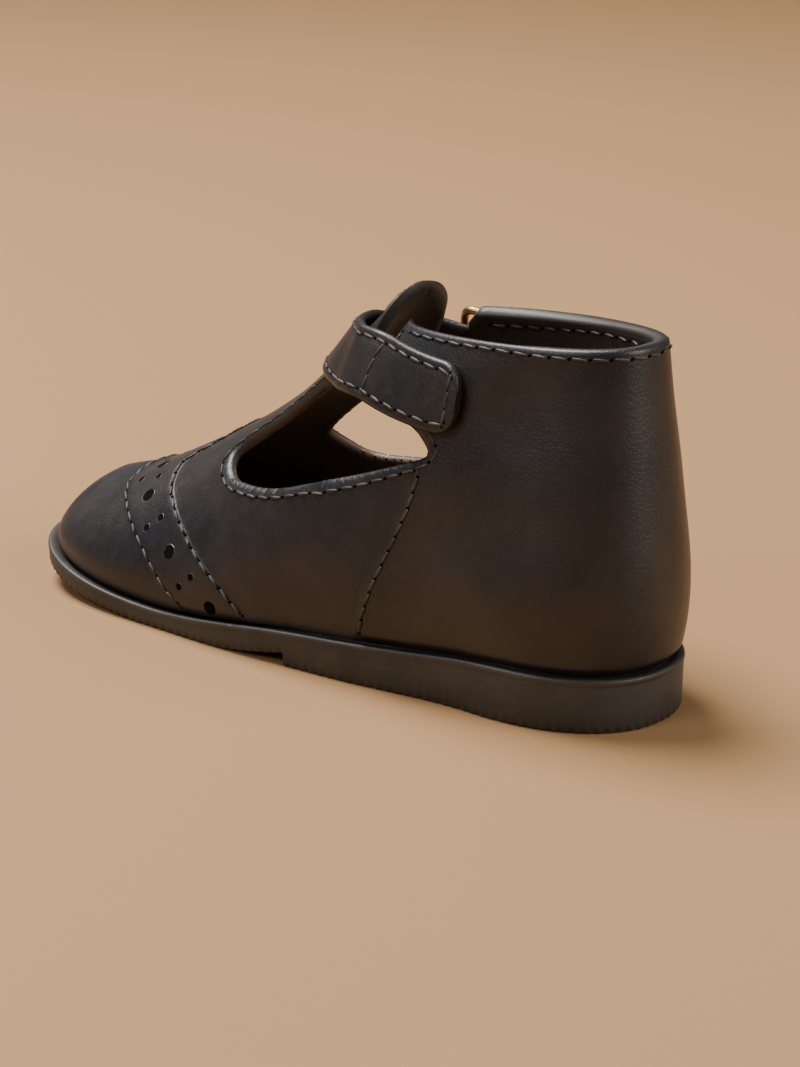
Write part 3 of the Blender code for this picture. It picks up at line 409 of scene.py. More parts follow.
# a grid point beside the edge moves along its grid line onto the edge
flat = field.ravel()
moveTo, moveBy = np.arange(len(flat)), np.ones(len(flat))
for step, axis in ((1, 0), (-1, 0), (1, 1), (-1, 1)):
    other = np.roll(np.arange(loop * rows).reshape(loop, rows), -step, axis=axis)
    valid = np.ones((loop, rows), bool)
    if axis == 1:
        valid[:, -1 if step > 0 else 0] = False
    near = flat[other]
    share = field / np.where(np.abs(field - near) < 1e-12, 1e-12, field - near)
    crosses = valid & (field * near < 0) & (share < 0.5)
    better = crosses.ravel() & (share.ravel() < moveBy)
    moveTo[better], moveBy[better] = other.ravel()[better], share.ravel()[better]
snapped = moveBy < 0.5
moveBy = np.where(snapped, moveBy, 0.0)


def snap(array):
    a = array.reshape(loop * rows, -1)
    return (a * (1 - moveBy[:, None]) + a[moveTo] * moveBy[:, None]).reshape(array.shape)


kept = snapped | (flat > 0)
firm = (flat > 0) & ~snapped
spacing = [np.maximum(np.linalg.norm(np.gradient(base, axis=a), axis=-1), 1e-9) for a in (0, 1)]
gradient = np.hypot(*(np.gradient(field, axis=a) / spacing[a] for a in (0, 1)))
edge = np.where(snapped.reshape(loop, rows), 0.0, field / np.clip(gradient, 0.5, 1.6))
rowGap = np.linalg.norm(np.diff(base, axis=1), axis=-1)
arc = np.concatenate([np.cumsum(rowGap[:, ::-1], axis=1)[:, ::-1], np.zeros((loop, 1))], axis=1)
collar = np.where(loopTurn < slotTurn, arc, 0.02)
rim = np.minimum(np.maximum(edge, 0), collar)
base, fineNormal, wallNormal = snap(base), unit(snap(fineNormal)), unit(snap(wallNormal))

# steps and soft forms on the outer skin, and round lips at every edge
x, y, z = base[..., 0], base[..., 1], base[..., 2]
seamTop, quarterEnd = throatLow + 0.0125, quarterFront + 0.004
seam = np.where(z < seamTop, (x - smoothCurve(z, seamRows)) * 0.93, -0.02)
aboveThroat = smoothStep((z - throatLow - 0.0132) / 0.002) * smoothStep((quarterEnd - x) / 0.002)
aboveThroat = np.where((z > seamTop) & (x < quarterEnd - 0.001), 1.0, aboveThroat)
onQuarter = np.maximum(smoothStep(0.5 - seam / 0.0008) * (z < seamTop), aboveThroat)
quarter = np.where(loopTurn < slotTurn, onQuarter, 0.0)
bandFront, bandBack = bandDistances(base)
band = smoothStep(bandFront / 0.0006 + 0.5) * smoothStep(bandBack / 0.0006 + 0.5)
half = upperSize["wall"] / 2
lip = 0.55 * half * np.clip(1 - rim / (0.65 * half), 0, 1) ** 2
foot = np.clip(arc[:, :1] - arc, 0, 1)
fade = smoothStep(foot / 0.002)
# low ripples across the vamp behind the toe, where the foot bends, and slack above the heel seat
bend = np.exp(-((x - 0.092) / 0.012) ** 2) * np.exp(-((z - 0.024) / 0.012) ** 2)
ripple = 0.00010 * bend * np.sin((x * 0.9 + z * 0.5) * 2 * np.pi / 0.0068)
slack = 0.00022 * np.sin(z * 2 * np.pi / 0.021 + x * 60) * np.exp(-((x - 0.030) / 0.02) ** 2) * fade
rise = (quarterStep * quarter + upperSize["bandStep"] * band + ripple + slack) * fade
outer = base + fineNormal * (rise - lip)[..., None]
inner = base - wallNormal * (upperSize["wall"] - lip)[..., None]
inner[:, 0, 2] = outer[:, 0, 2]
holes = np.array([(x, s * (y - toeShift(x)) + toeShift(x), z, r) for s in (1, -1) for x, y, z, r in holeRows]
                 + [(0.1140, 0.0020, 0.0252, 0.00135)])
quad = gridQuads(index)
tree = BVHTree.FromPolygons(outer.reshape(-1, 3).tolist(), quad.tolist())


def onSurface(points, lift=0.0):  # nearest places on the outer skin, with outward normals
    hits = [tree.find_nearest(Vector(p))[:2] for p in np.asarray(points, float)]
    place = np.array([h[0] for h in hits])
    normal = np.array([h[1] for h in hits])
    centre = np.array([0.06, 0.0, 0.02])
    normal = normal * np.sign(np.sum(normal * (place - centre), -1, keepdims=True))
    return place + normal * lift, normal


holeAt, _ = onSurface(holes[:, :3])
holeDistance = np.min([np.linalg.norm(outer - c, axis=-1) - r for c, r in zip(holeAt, holes[:, 3])], axis=0)

keptCount = kept[quad].sum(1)
hasFirm = firm[quad].any(1)
whole = quad[(keptCount == 4) & hasFirm]
three = quad[(keptCount == 3) & hasFirm]
corner = np.argmin(kept[three], axis=1)
three = three[np.arange(len(three))[:, None], (corner[:, None] + np.array([1, 2, 3])) % 4]
split = (whole[:, 2] == whole[:, 3]) | (whole[:, 0] == whole[:, 1])
skin = [whole[~split], whole[split][:, :3], three]
edges = np.concatenate([np.stack([f, np.roll(f, -1, axis=1)], -1).reshape(-1, 2) for f in skin])
edges = edges[edges[:, 0] != edges[:, 1]]
key = np.sort(edges, axis=1)
_, first, copies = np.unique(key, axis=0, return_index=True, return_counts=True)
border = edges[first[copies == 1]]
offset = loop * rows
edgeFaces = np.stack([border[:, 1], border[:, 0], border[:, 0] + offset, border[:, 1] + offset], -1)
faces = skin + [f[:, ::-1] + offset for f in skin] + [edgeFaces]
# masks for the leather's material: distances in millimetres, then shares
onTab = smoothStep((alongTab + 0.02) / 0.004) * nearMiddle * (loopTurn >= slotTurn)
masks = dict(rim=rim * 1000, seam=np.clip(seam, -0.02, 0.02) * 1000,
             band=np.minimum(bandFront, bandBack) * 1000, tab=onTab)
values = {key: np.tile(mask.ravel(), 2) for key, mask in masks.items()}
values["hole"] = np.concatenate([holeDistance.ravel() * 1000, np.full(offset, 5.0)])
values["lining"] = np.concatenate([np.zeros(offset), np.ones(offset)])
upperMesh = compact(np.concatenate([outer.reshape(-1, 3), inner.reshape(-1, 3)]), faces, values)


# materials: small helpers that add and join nodes
def newMaterial(name):
    material = bpy.data.materials.new(name)
    material.use_nodes = True
    nodes, links = material.node_tree.nodes, material.node_tree.links

    def add(kind, **inputs):
        item = nodes.new(kind)
        for key, value in inputs.items():
            if key.startswith("set_"):
                setattr(item, key[4:], value)
                continue
            socket = item.inputs[int(key[1]) if key in ("i0", "i1") else key]
            if isinstance(value, bpy.types.NodeSocket):
                links.new(value, socket)
            else:
                socket.default_value = value
        return item
    return material, nodes["Principled BSDF"], add, links


def maths(add, kind, a, b):
    return add("ShaderNodeMath", set_operation=kind, i0=a, i1=b).outputs[0]


def times(add, a, b):
    return maths(add, "MULTIPLY", a, b)


def plus(add, a, *others):
    for b in others:
        a = maths(add, "ADD", a, b)
    return a


def ramp(add, value, stops):  # stops: place and grey level or colour
    item = add("ShaderNodeValToRGB", i0=value)
    bar = item.color_ramp
    while len(bar.elements) < len(stops):
        bar.elements.new(0.5)
    for element, (place, colour) in zip(bar.elements, stops):
        element.position = place
        element.color = (*colour, 1.0) if hasattr(colour, "__len__") else (colour, colour, colour, 1.0)
    return item.outputs[0]


def noise(add, where, scale, detail=3.0, roughness=0.55, stretch=None):
    if stretch:
        where = add("ShaderNodeMapping", Vector=where, Scale=stretch).outputs[0]
    return add("ShaderNodeTexNoise", Vector=where, Scale=scale, Detail=detail, Roughness=roughness).outputs[0]


def blendColour(add, share, a, b):
    item = add("ShaderNodeMix", set_data_type="RGBA")
    tree = item.id_data
    for socket, value in ((item.inputs[0], share), (item.inputs[6], a), (item.inputs[7], b)):
        if isinstance(value, bpy.types.NodeSocket):
            tree.links.new(value, socket)
        else:
            socket.default_value = (*value, 1.0) if hasattr(value, "__len__") else value
    return item.outputs[2]


def dress(made, colour, rough, height, strength=1.0):  # gives the shader its colour, roughness and bump
    _, shader, add, links = made
    links.new(colour, shader.inputs["Base Color"])
    if isinstance(rough, float):
        shader.inputs["Roughness"].default_value = rough
    else:
        links.new(rough, shader.inputs["Roughness"])
    bump = add("ShaderNodeBump", Strength=strength, Distance=1.0, Height=height)
    links.new(bump.outputs[0], shader.inputs["Normal"])
    return shader


# the second lining colour, used low down inside the shoe, is painted light
leatherLook = dict(dark=(0.0052, 0.0052, 0.0076), brown=(0.0205, 0.0164, 0.0148), edge=(0.024, 0.021, 0.015),
                   lining=(0.0250, 0.0180, 0.0120), paintedLightLining=(0.30, 0.20, 0.13), roughness=0.40, coat=0.14)


def leather(name, masks=True):
    look, made = leatherLook, newMaterial(name)
    add = made[2]
    where = add("ShaderNodeTexCoord").outputs["Object"]
    clouds = noise(add, where, 60, 4)
    mottle = noise(add, where, 420, 3)
    grain = noise(add, where, 2600, 2, 0.6)
    cells = add("ShaderNodeTexVoronoi", Vector=where, Scale=1300.0, set_feature="DISTANCE_TO_EDGE").outputs[0]
    scratch = noise(add, where, 900, 2, 0.5, (0.16, 0.16, 1.0))
    tone = ramp(add, clouds, [(0.35, 0.0), (0.68, 1.0)])
    colour = blendColour(add, tone, look["dark"], look["brown"])
    colour = blendColour(add, ramp(add, mottle, [(0.55, 0.0), (0.8, 0.35)]), colour, (0.020, 0.018, 0.021))
    creases = ramp(add, cells, [(0.0, 0.0), (0.12, 1.0)])
    height = plus(add, times(add, grain, 0.000030), times(add, creases, 0.000016),
                  times(add, scratch, 0.000022), times(add, clouds, 0.00012))
    rough = plus(add, times(add, mottle, 0.16), look["roughness"] - 0.07)
    if masks:
        def mask(key):
            return add("ShaderNodeAttribute", set_attribute_name=key).outputs["Fac"]
        rimAt = times(add, mask("rim"), 0.25)
        rimShape = ramp(add, rimAt, [(0.0, 0.50), (0.20, 0.54), (0.34, 0.51), (0.44, 0.38), (0.54, 0.50)])
        seamAt = plus(add, times(add, mask("seam"), 0.1), 0.5)
        seamShape = ramp(add, seamAt, [(0.30, 0.5), (0.38, 0.36), (0.47, 0.62), (0.50, 0.5), (0.53, 0.2),
                                       (0.60, 0.5)])
        bandAt = plus(add, times(add, mask("band"), 0.1), 0.5)
        bandShape = ramp(add, bandAt, [(0.42, 0.5), (0.47, 0.38), (0.51, 0.55), (0.57, 0.45), (0.66, 0.5)])
        holeAt = plus(add, times(add, mask("hole"), 0.2), 0.5)
        holeShape = ramp(add, holeAt, [(0.40, 0.6), (0.49, 0.6), (0.54, 1.0), (0.60, 0.9), (0.7, 0.9)])
        for shape, depth in ((rimShape, 0.00042), (seamShape, 0.0005), (bandShape, 0.00042), (holeShape, 0.0004)):
            height = plus(add, height, times(add, shape, depth))
        # painted shade: the leather is painted near black inside each perforation
        holeShadeShare = ramp(add, holeAt, [(0.485, 1.0), (0.515, 0.0)])
        colour = blendColour(add, holeShadeShare, colour, (0.0015, 0.0012, 0.0012))
        # painted light: the lining is painted far lighter low down inside the shoe, where little light reaches it
        depth = add("ShaderNodeSeparateXYZ", Vector=where).outputs[2]
        paintedLightShare = ramp(add, times(add, depth, 14.0), [(0.15, 1.0), (0.75, 0.0)])
        lining = blendColour(add, paintedLightShare, look["lining"], look["paintedLightLining"])
        colour = blendColour(add, mask("lining"), colour, lining)
        onEdge = ramp(add, rimAt, [(0.08, 1.0), (0.16, 0.0)])
        rawEdge = times(add, onEdge, plus(add, times(add, mask("tab"), 0.80), 0.04))
        colour = blendColour(add, rawEdge, colour, look["edge"])
        rough = plus(add, rough, times(add, maths(add, "MAXIMUM", rawEdge, mask("lining")), 0.22))
    shader = dress(made, colour, rough, height)
    shader.inputs["Coat Weight"].default_value = look["coat"]
    shader.inputs["Coat Roughness"].default_value = 0.32
    return made[0]


soleLook = dict(dark=(0.022, 0.0200, 0.0168), pale=(0.048, 0.043, 0.036), roughness=0.50)


def soleMaterial():
    made = newMaterial("soleRubber")
    add = made[2]
    where = add("ShaderNodeTexCoord").outputs["Object"]
    clouds = noise(add, where, 90, 4)
    grit = noise(add, where, 3200, 2, 0.6)
    lines = noise(add, where, 700, 3, 0.6, (0.05, 0.05, 1.0))  # faint scratches that run along the sole
    scratches = ramp(add, lines, [(0.60, 0.0), (0.70, 1.0)])
    colour = blendColour(add, ramp(add, clouds, [(0.3, 0.0), (0.7, 1.0)]), soleLook["dark"], soleLook["pale"])
    colour = blendColour(add, times(add, scratches, 0.3), colour, (0.055, 0.050, 0.044))
    height = plus(add, times(add, grit, 0.000035), times(add, scratches, -0.00005))
    dress(made, colour, plus(add, times(add, grit, 0.15), soleLook["roughness"] - 0.07), height)
    return made[0]


threadLook = dict(dark=(0.022, 0.019, 0.014), pale=(0.062, 0.055, 0.040), roughness=0.52)


def threadMaterial():
    made = newMaterial("waxedThread")
    add = made[2]
    where = add("ShaderNodeTexCoord").outputs["Object"]
    fuzz = noise(add, where, 5200, 2)
    worn = ramp(add, noise(add, where, 260, 2), [(0.4, 0.0), (0.62, 1.0)])
    colour = blendColour(add, worn, threadLook["dark"], threadLook["pale"])
    dress(made, colour, threadLook["roughness"], times(add, fuzz, 0.00007), 0.7)
    return made[0]


def plainMaterial(name, colourA, colourB, roughness, metallic=0.0, scale=300.0, depth=0.00002):
    made = newMaterial(name)
    add = made[2]
    where = add("ShaderNodeTexCoord").outputs["Object"]
    tone = noise(add, where, scale, 4)
    colour = blendColour(add, ramp(add, tone, [(0.35, 0.0), (0.65, 1.0)]), colourA, colourB)
    rough = plus(add, times(add, tone, 0.2), roughness - 0.1)
    shader = dress(made, colour, rough, times(add, noise(add, where, scale * 9, 2), depth))
    shader.inputs["Metallic"].default_value = metallic
    return made[0]


upperLeather = leather("upperLeather")
strapLeather = leather("strapLeather", masks=False)
soleRubber = soleMaterial()
thread = threadMaterial()
# painted shade: a near black, dull material for needle holes and perforations, in place of their shaded insides
holeShadePaint = plainMaterial("paintedHoleShade", (0.0016, 0.0013, 0.0012), (0.0022, 0.0019, 0.0016), 0.9)
holeShadePaint.node_tree.nodes["Principled BSDF"].inputs["Specular IOR Level"].default_value = 0.08
brass = plainMaterial("wornBrass", (0.55, 0.36, 0.15), (0.34, 0.21, 0.09), 0.30, 1.0, 500.0)
sockLeather = plainMaterial("sockLeather", (0.030, 0.020, 0.014), (0.050, 0.034, 0.023), 0.65)

upper = meshPiece("upperShell", *upperMesh[:2], upperLeather, "upper_leather", upperMesh[2], sharp=1.0)
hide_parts("upper")
print("upper:", len(upper.data.polygons), "faces")

# sole: rings round the outline, each a small inset and a height; teeth along the lower edge
soleSize = dict(stations=470, toothPitch=0.0020, toothDepth=0.00022, edgeRound=0.0006, grooveDepth=0.0007)


def ringLoop(turns, inset, height):
    inset = inset * np.ones((len(turns), 1))
    a, _ = outline(turns, 1, inset)
    b, _ = outline(turns[-2:0:-1], -1, inset[-2:0:-1])
    xy = np.concatenate([a, b])
    return np.column_stack([xy, height(xy[:, 0])])


def capFaces(count, base, up):  # strips across a closed ring, from its heel to its toe
    n = 2 * count - 2
    i = np.arange(count - 1)
    quad = np.stack([base + i, base + i + 1, base + (n - i - 1) % n, base + (n - i) % n], -1)
    ends = np.stack([quad[0, :3], quad[-1, [0, 1, 3]]])
    return [quad[1:-1, ::-1], ends[:, ::-1]] if up else [quad[1:-1], ends]


# rings of the outline, each with its own inset and height, closed below and above
def stackedPiece(name, turns, levels, material, slot, node, sharp=0.7):
    rings = [ringLoop(turns, inset, height) for inset, height in levels]
    n = 2 * len(turns) - 2
    caps = capFaces(len(turns), 0, False) + capFaces(len(turns), (len(rings) - 1) * n, True)
    faces = [loopFaces(len(rings), n)] + caps
    item = meshPiece(name, np.concatenate(rings), faces, material, slot, sharp=sharp)
    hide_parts(node)


breastTurn = np.arccos(1 - 2 * last["breastAt"] / last["length"]) / np.pi
even = np.linspace(0, 1, 4001)
run = pathLength(outline(even, 1)[0])
soleTurns = np.interp(np.linspace(0, run[-1], soleSize["stations"]), run, even)
soleTurns = np.sort(np.concatenate([soleTurns, [breastTurn, breastTurn + 0.0008]]))
wave = np.cos(np.interp(soleTurns, even, run) * 2 * np.pi / soleSize["toothPitch"])
tooth = (soleSize["toothDepth"] * (0.5 + 0.5 * wave))[:, None]
ledgeHere = ledgeAt(soleTurns)
r = soleSize["edgeRound"]


def levelAt(share, rise):  # share 0 is the sole's underside, 1 its top
    return lambda x: (1 - share) * soleBottom(x) + share * soleTop(x) + rise


# rings up the side, in edge rounds: inset, how much of the teeth it has, share of the height, and rise
sideRows = [(1.6, 1, 0, 0), (0.7, 1, 0, 0.15), (0.35, 1, 0, 0.6), (0.25, 1, 0, 1.6), (0.25, 0.3, 0, 1.9),
            (0.22, 0, 0, 2.2), (0.30, 0, 0.5, 0), (0.22, 0, 1, -2.4), (0.30, 0, 1, -2.0), (0.05, 0, 1, -1.6),
            (0, 0, 1, -1.0), (0.12, 0, 1, -0.4), (0.5, 0, 1, -0.08), (1.0, 0, 1, 0)]
groove = -soleSize["grooveDepth"]
soleLevels = [(inset * r + teeth * tooth, levelAt(share, rise * r)) for inset, teeth, share, rise in sideRows]
grooveRows = [(-0.0004, -0.0001), (0.0001, groove), (0.0010, groove)]
soleLevels += [(ledgeHere + inset, levelAt(1, rise)) for inset, rise in grooveRows]
stackedPiece("soleUnit", soleTurns, soleLevels, soleRubber, "sole_rubber", "outsole", sharp=0.9)
sockTurns = np.linspace(0, 1, 160)
sockInset = ledgeAt(sockTurns) + upperSize["wall"] + 2 * last["gap"]
sockRows = [(0, 0.0003), (0, 0.0020), (0.0006, 0.0023), (0.004, 0.0021)]
sockLevels = [(sockInset + inset, levelAt(1, rise)) for inset, rise in sockRows]
stackedPiece("sockLining", sockTurns, sockLevels, sockLeather, "insole_leather", "insole")
print("sole and sock")

# ankle strap: its middle line runs round the upper, and each cross section is a curve that lies on it
strapSize = dict(level=0.0558, drop=0.0045, width=0.0126, tipWidth=0.0104, thickness=0.0018,
                 start=0.0325, tail=0.0280, corner=0.0042, stitchIn=0.0017, crossAt=0.0525,
                 buckleAt=0.0565, buckleLength=0.0100, wire=0.0016, play=0.0006, prong=0.0013,
                 tabLeather=0.0009, tabLength=0.0120)
wire, tabLeather, tipWidth, stitchIn = (strapSize[key] for key in ("wire", "tabLeather", "tipWidth", "stitchIn"))
# height of the strap's middle along the inner side
strapRows = [(0.030, 0.0540), (0.041, 0.0545), (0.051, 0.0553), (0.056, 0.0558), (0.061, 0.0560), (0.068, 0.0558)]


def strapLevel(x, s):
    if s >= 0:
        return float(smoothCurve(x, strapRows))
    share = np.clip((upperSize["collarFront"] + 0.0215 - x) / 0.0215, 0, 1)
    return strapSize["level"] - strapSize["drop"] * share


coarse = upperGrid(np.linspace(0, 1, 241), np.linspace(0, 1, 81))
coarseIndex = np.arange(coarse.shape[0] * 81).reshape(-1, 81)
plainTree = BVHTree.FromPolygons(coarse.reshape(-1, 3).tolist(), gridQuads(coarseIndex).tolist())


def castRound(angles):  # level rays from inside the ankle, out to the surface
    places, normals = [], []
    for a in angles:
        aim = Vector((np.cos(a), np.sin(a), 0))
        level = strapSize["level"]
        for _ in range(3):
            hit, normal = plainTree.ray_cast(Vector((0.045, 0, level)), aim)[:2]
            level = strapLevel(hit.x, a)
        places.append(hit)
        normals.append(normal if normal.dot(aim) > 0 else -normal)
    return np.array(places), np.array(normals)


line, normal = castRound(np.linspace(np.pi / 2 + 0.95, -np.pi / 2 - 0.95, 201))
normal = soften(normal, 6)
length = pathLength(line)
at = np.linspace(0, length[-1], 180)
line, normal = pointAt(at, length, line), pointAt(at, length, normal)
rests = (line[:, 0] <= quarterFront - 0.001) | (np.abs(line[:, 1]) <= upperSize["barWidth"] / 2 + 0.0016)
# between the quarter and the T-bar it hangs free: bridged there from where it rests
line = np.stack([smoothCurve(at, np.column_stack([at[rests], line[rests, i]])) for i in range(3)], -1)
normal = unit(np.stack([smoothCurve(at, np.column_stack([at[rests], normal[rests, i]])) for i in range(3)], -1))
# it stands a little steeper than the T-bar
normal[:, 2] *= 1 - 0.22 * smoothStep((line[:, 0] - quarterFront) / 0.006)
line, normal = soften(line, 8), unit(soften(normal, 30))
held = soften(np.where(rests, 1.0, 0.0), 18)
first = int(np.argmax((line[:, 0] > strapSize["start"]) & (line[:, 1] > 0)))
stop = len(line) - int(np.argmax(((line[:, 0] > strapSize["tail"]) & (line[:, 1] < 0))[::-1]))
line, normal, held, at = (a[first:stop] for a in (line, normal, held, at))
at = at - at[0]
ahead = unit(np.gradient(soften(line.copy(), 4), axis=0))
across = unit(np.cross(ahead, normal))
normal = np.cross(across, ahead)
total = at[-1]
buckleMid = at[np.argmin(np.abs(line[:, 0] - strapSize["buckleAt"]) + (line[:, 1] > 0))]
frontBar, rearBar = buckleMid - strapSize["buckleLength"] / 2, buckleMid + strapSize["buckleLength"] / 2
gap = last["gap"]
barLift = quarterStep + 3 * gap + tabLeather + wire / 2
overQuarter = quarterStep + 2 * gap
overFold = barLift + wire / 2 + 2 * gap + tabLeather - overQuarter
overLayers = 2 * tabLeather + 2 * gap
insideBuckle = strapSize["buckleLength"] - 2 * wire
lift = (overFold * smoothStep((at - frontBar - wire) / insideBuckle)
        - (overFold - overLayers) * smoothStep((at - rearBar - 0.002) / 0.005)
        - overLayers * smoothStep((at - rearBar - strapSize["tabLength"] - 0.0025) / 0.004))
pastQuarter = smoothStep((line[:, 0] - quarterFront - 0.002) / 0.006)
over = overQuarter - (quarterStep + 0.0002) * pastQuarter
strapHeight = over + lift + strapSize["thickness"] / 2
taper = smoothStep((at - 0.45 * total) / (0.2 * total))
strapWidth = strapSize["width"] + (tipWidth - strapSize["width"]) * taper


def bowAcross(half):  # how far the surface falls away either side of the middle line
    sag = []
    for p, n, c, h in zip(line, normal, across, half):
        ends = [plainTree.find_nearest(Vector(p + c * h * s))[0] for s in (-0.8, 0.8)]
        sag.append(sum(float((np.array(e) - p) @ n) for e in ends) / 2 / 0.64)
    return soften(np.array(sag) * held, 10)


freePart = smoothStep((line[:, 0] - quarterFront + 0.002) / 0.006)
bow = bowAcross(strapWidth / 2) * (1 - 0.75 * freePart)


def strapPoint(s, w, h):  # place at s along the strap, w across it and h over its middle layer
    n, c = unit(pointAt(s, at, normal)), unit(pointAt(s, at, across))
    halfHere, bowHere = np.interp(s, at, strapWidth) / 2, np.interp(s, at, bow)
    out = unit(n - c * (2 * bowHere * w / halfHere ** 2)[..., None])
    rise = np.interp(s, at, strapHeight) + bowHere * (w / halfHere) ** 2
    return pointAt(s, at, line) + n * rise[..., None] + c * w[..., None] + out * h[..., None], out


def withoutRepeats(group):  # faces of a strip's end, where two corners may be one point
    lists = [list(dict.fromkeys(f)) for f in group.tolist()]
    return [np.array(found) for size in (3, 4) if (found := [f for f in lists if len(f) == size])]


# a strip: round at both edges, level between them, with a shallow channel where its stitches lie;
# a ring of places across the top and back underneath, at each place along it
def roundedStrip(name, lengthOf, halfAt, thick, stations, acrossCount, place, node):
    share = np.linspace(0, 1, stations)
    s = lengthOf * (0.35 * (0.5 - 0.5 * np.cos(np.pi * share)) + 0.65 * share)  # closer together at both ends
    q = np.sin(np.linspace(-np.pi / 2, np.pi / 2, acrossCount))
    w = halfAt(s)[:, None] * q[None, :]
    fromEdge = halfAt(s)[:, None] - np.abs(w)
    radius = thick * 0.5
    h = radius * np.sqrt(np.clip(1 - np.clip(1 - fromEdge / radius, 0, 1) ** 2, 0, 1))
    channel = 0.00012 * np.exp(-((fromEdge - stitchIn) / 0.0005) ** 2)
    sGrid = np.repeat(s[:, None], acrossCount, 1)
    top, low = place(sGrid, w, h - channel)[0], place(sGrid, w, -h)[0]
    ring = np.concatenate([top, low[:, -2:0:-1]], axis=1)
    n = ring.shape[1]
    faces = [loopFaces(stations, n, flip=True)]
    k = np.arange(acrossCount - 1)
    for start, turned in ((0, 1), ((stations - 1) * n, -1)):
        cap = np.stack([start + k, start + k + 1, start + (n - k - 1) % n, start + (n - k) % n], -1)
        faces.append(cap[:, ::turned])
    faces = [part for group in faces for part in withoutRepeats(group)]
    item = meshPiece(name, ring.reshape(-1, 3), faces, strapLeather, "strap_leather", sharp=1.1)
    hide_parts(node)


def strapHalf(s):  # rounded corners at the sewn end, a half round at the tip
    half = np.interp(s, at, strapWidth) / 2
    begin = np.clip(1 - s / strapSize["corner"], 0, 1)
    half = half - strapSize["corner"] * (1 - np.sqrt(1 - 0.985 * begin ** 2))
    end = np.clip(1 - (total - s) / tipWidth * 1.7, 0, 1)
    return half * np.sqrt(1 - 0.985 * end ** 2)


roundedStrip("ankleStrap", total, strapHalf, strapSize["thickness"], 220, 25, strapPoint, "ankle_strap")
print("ankle strap")


def ringAround(a, b, turn):  # cos times one way plus sin times the other
    return np.cos(turn)[:, None] * a[..., None, :] + np.sin(turn)[:, None] * b[..., None, :]


# buckle: round wire; each ring is the path's point plus the radius round it, closing in at open ends
def tubePiece(name, path, radius, closed, node, sides=16):
    path = np.asarray(path, float)
    forward = unit(np.roll(path, -1, 0) - np.roll(path, 1, 0)) if closed else unit(np.gradient(path, axis=0))
    flatAxis = unit(np.cross(path[len(path) // 3] - path[0], path[2 * len(path) // 3] - path[0]))
    out = unit(np.cross(forward, flatAxis))
    turn = np.arange(sides) * 2 * np.pi / sides
    order = np.arange(len(path))
    fromEnd = np.full(len(path), 9.0) if closed else np.minimum(order, order[::-1])
    scale = np.sqrt(np.clip(1 - np.clip(1 - fromEnd / 2.5, 0, 1) ** 2, 0.05, 1))[:, None, None]
    ring = path[:, None] + radius * scale * ringAround(out, flatAxis, turn)
    faces = [loopFaces(len(path), sides, flip=True)]
    if closed:
        k = np.arange(sides)
        base = (len(path) - 1) * sides
        faces.append(np.stack([k, (k + 1) % sides, base + (k + 1) % sides, base + k], -1))
    else:
        faces += [np.arange(sides)[None], ((len(path) - 1) * sides + np.arange(sides)[::-1])[None]]
    item = meshPiece(name, ring.reshape(-1, 3), faces, brass, "buckle_brass", sharp=1.2)
    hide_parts(node)


def guidePoint(s, h):  # a place over the strap's line, with the ways ahead, across and out
    a, c, n = (unit(pointAt(s, at, rows)) for rows in (ahead, across, normal))
    return pointAt(s, at, line) + n * h, a, c, n


hinge, rearAhead, crossRear, up = guidePoint(rearBar, barLift)
overStrap = overQuarter + strapSize["thickness"] + strapSize["play"] + wire / 2
frontAt, _, crossFront, _ = guidePoint(frontBar, overStrap)
span = np.linalg.norm(frontAt - hinge)
forward = (frontAt - hinge) / span
crossway = unit((crossRear + crossFront) - forward * ((crossRear + crossFront) @ forward))
upward = np.cross(forward, crossway)
upward = upward * np.sign(upward @ up)
buckleHalf = tipWidth / 2 + strapSize["play"] + wire / 2
corners = rounded([(0, -buckleHalf, 0.0018), (span, -buckleHalf, 0.0024),
                   (span, buckleHalf, 0.0024), (0, buckleHalf, 0.0018)], 8)
closedPath = np.array(corners + corners[:1])
walk = pathLength(closedPath)
evenly = np.linspace(0, walk[-1], 97)[:-1]
f, w = (np.interp(evenly, walk, closedPath[:, i]) for i in (0, 1))
dome = 0.0004 * np.sin(np.pi * np.clip(f / span, 0, 1))
framePath = hinge + forward * f[:, None] + crossway * w[:, None] + upward * dome[:, None]
tubePiece("buckleFrame", framePath, wire / 2, True, "buckle_frame")
eye = wire / 2 + gap + strapSize["prong"] / 2
bendAngles = np.linspace(2.6, 0, 16)[:, None]
prongPath = np.concatenate([hinge + eye * (-forward * np.sin(bendAngles) + upward * np.cos(bendAngles)),
                            hinge + upward * eye + forward * (np.linspace(0.12, 1, 14) * (span + 0.0012))[:, None]])
tubePiece("bucklePin", prongPath, strapSize["prong"] / 2, False, "buckle_prong")
fold = wire / 2 + gap + tabLeather / 2
lowLayer = overQuarter + tabLeather / 2
highLayer = lowLayer + tabLeather + gap
crest = barLift + fold
back = np.linspace(strapSize["tabLength"], 0.0020, 14)
climb = crest - (crest - highLayer) * smoothStep((back - 0.0020) / 0.0030)
lowPath = [guidePoint(rearBar + b, lowLayer)[0] for b in back]
roundPath = [hinge + fold * (-rearAhead * np.sin(a) - up * np.cos(a)) for a in np.linspace(0, np.pi, 17)]
highPath = [guidePoint(rearBar + b, h)[0] for b, h in zip(back[::-1], climb[::-1])]
foldPath = np.array(lowPath + roundPath + highPath)
foldRun = pathLength(foldPath)
foldCross = np.repeat(crossRear[None], len(foldPath), 0)
foldOut = unit(np.cross(unit(np.gradient(foldPath, axis=0)), foldCross))


def foldPoint(s, w, h):
    c, out = unit(pointAt(s, foldRun, foldCross)), unit(pointAt(s, foldRun, foldOut))
    return pointAt(s, foldRun, foldPath) + c * w[..., None] + out * h[..., None], out


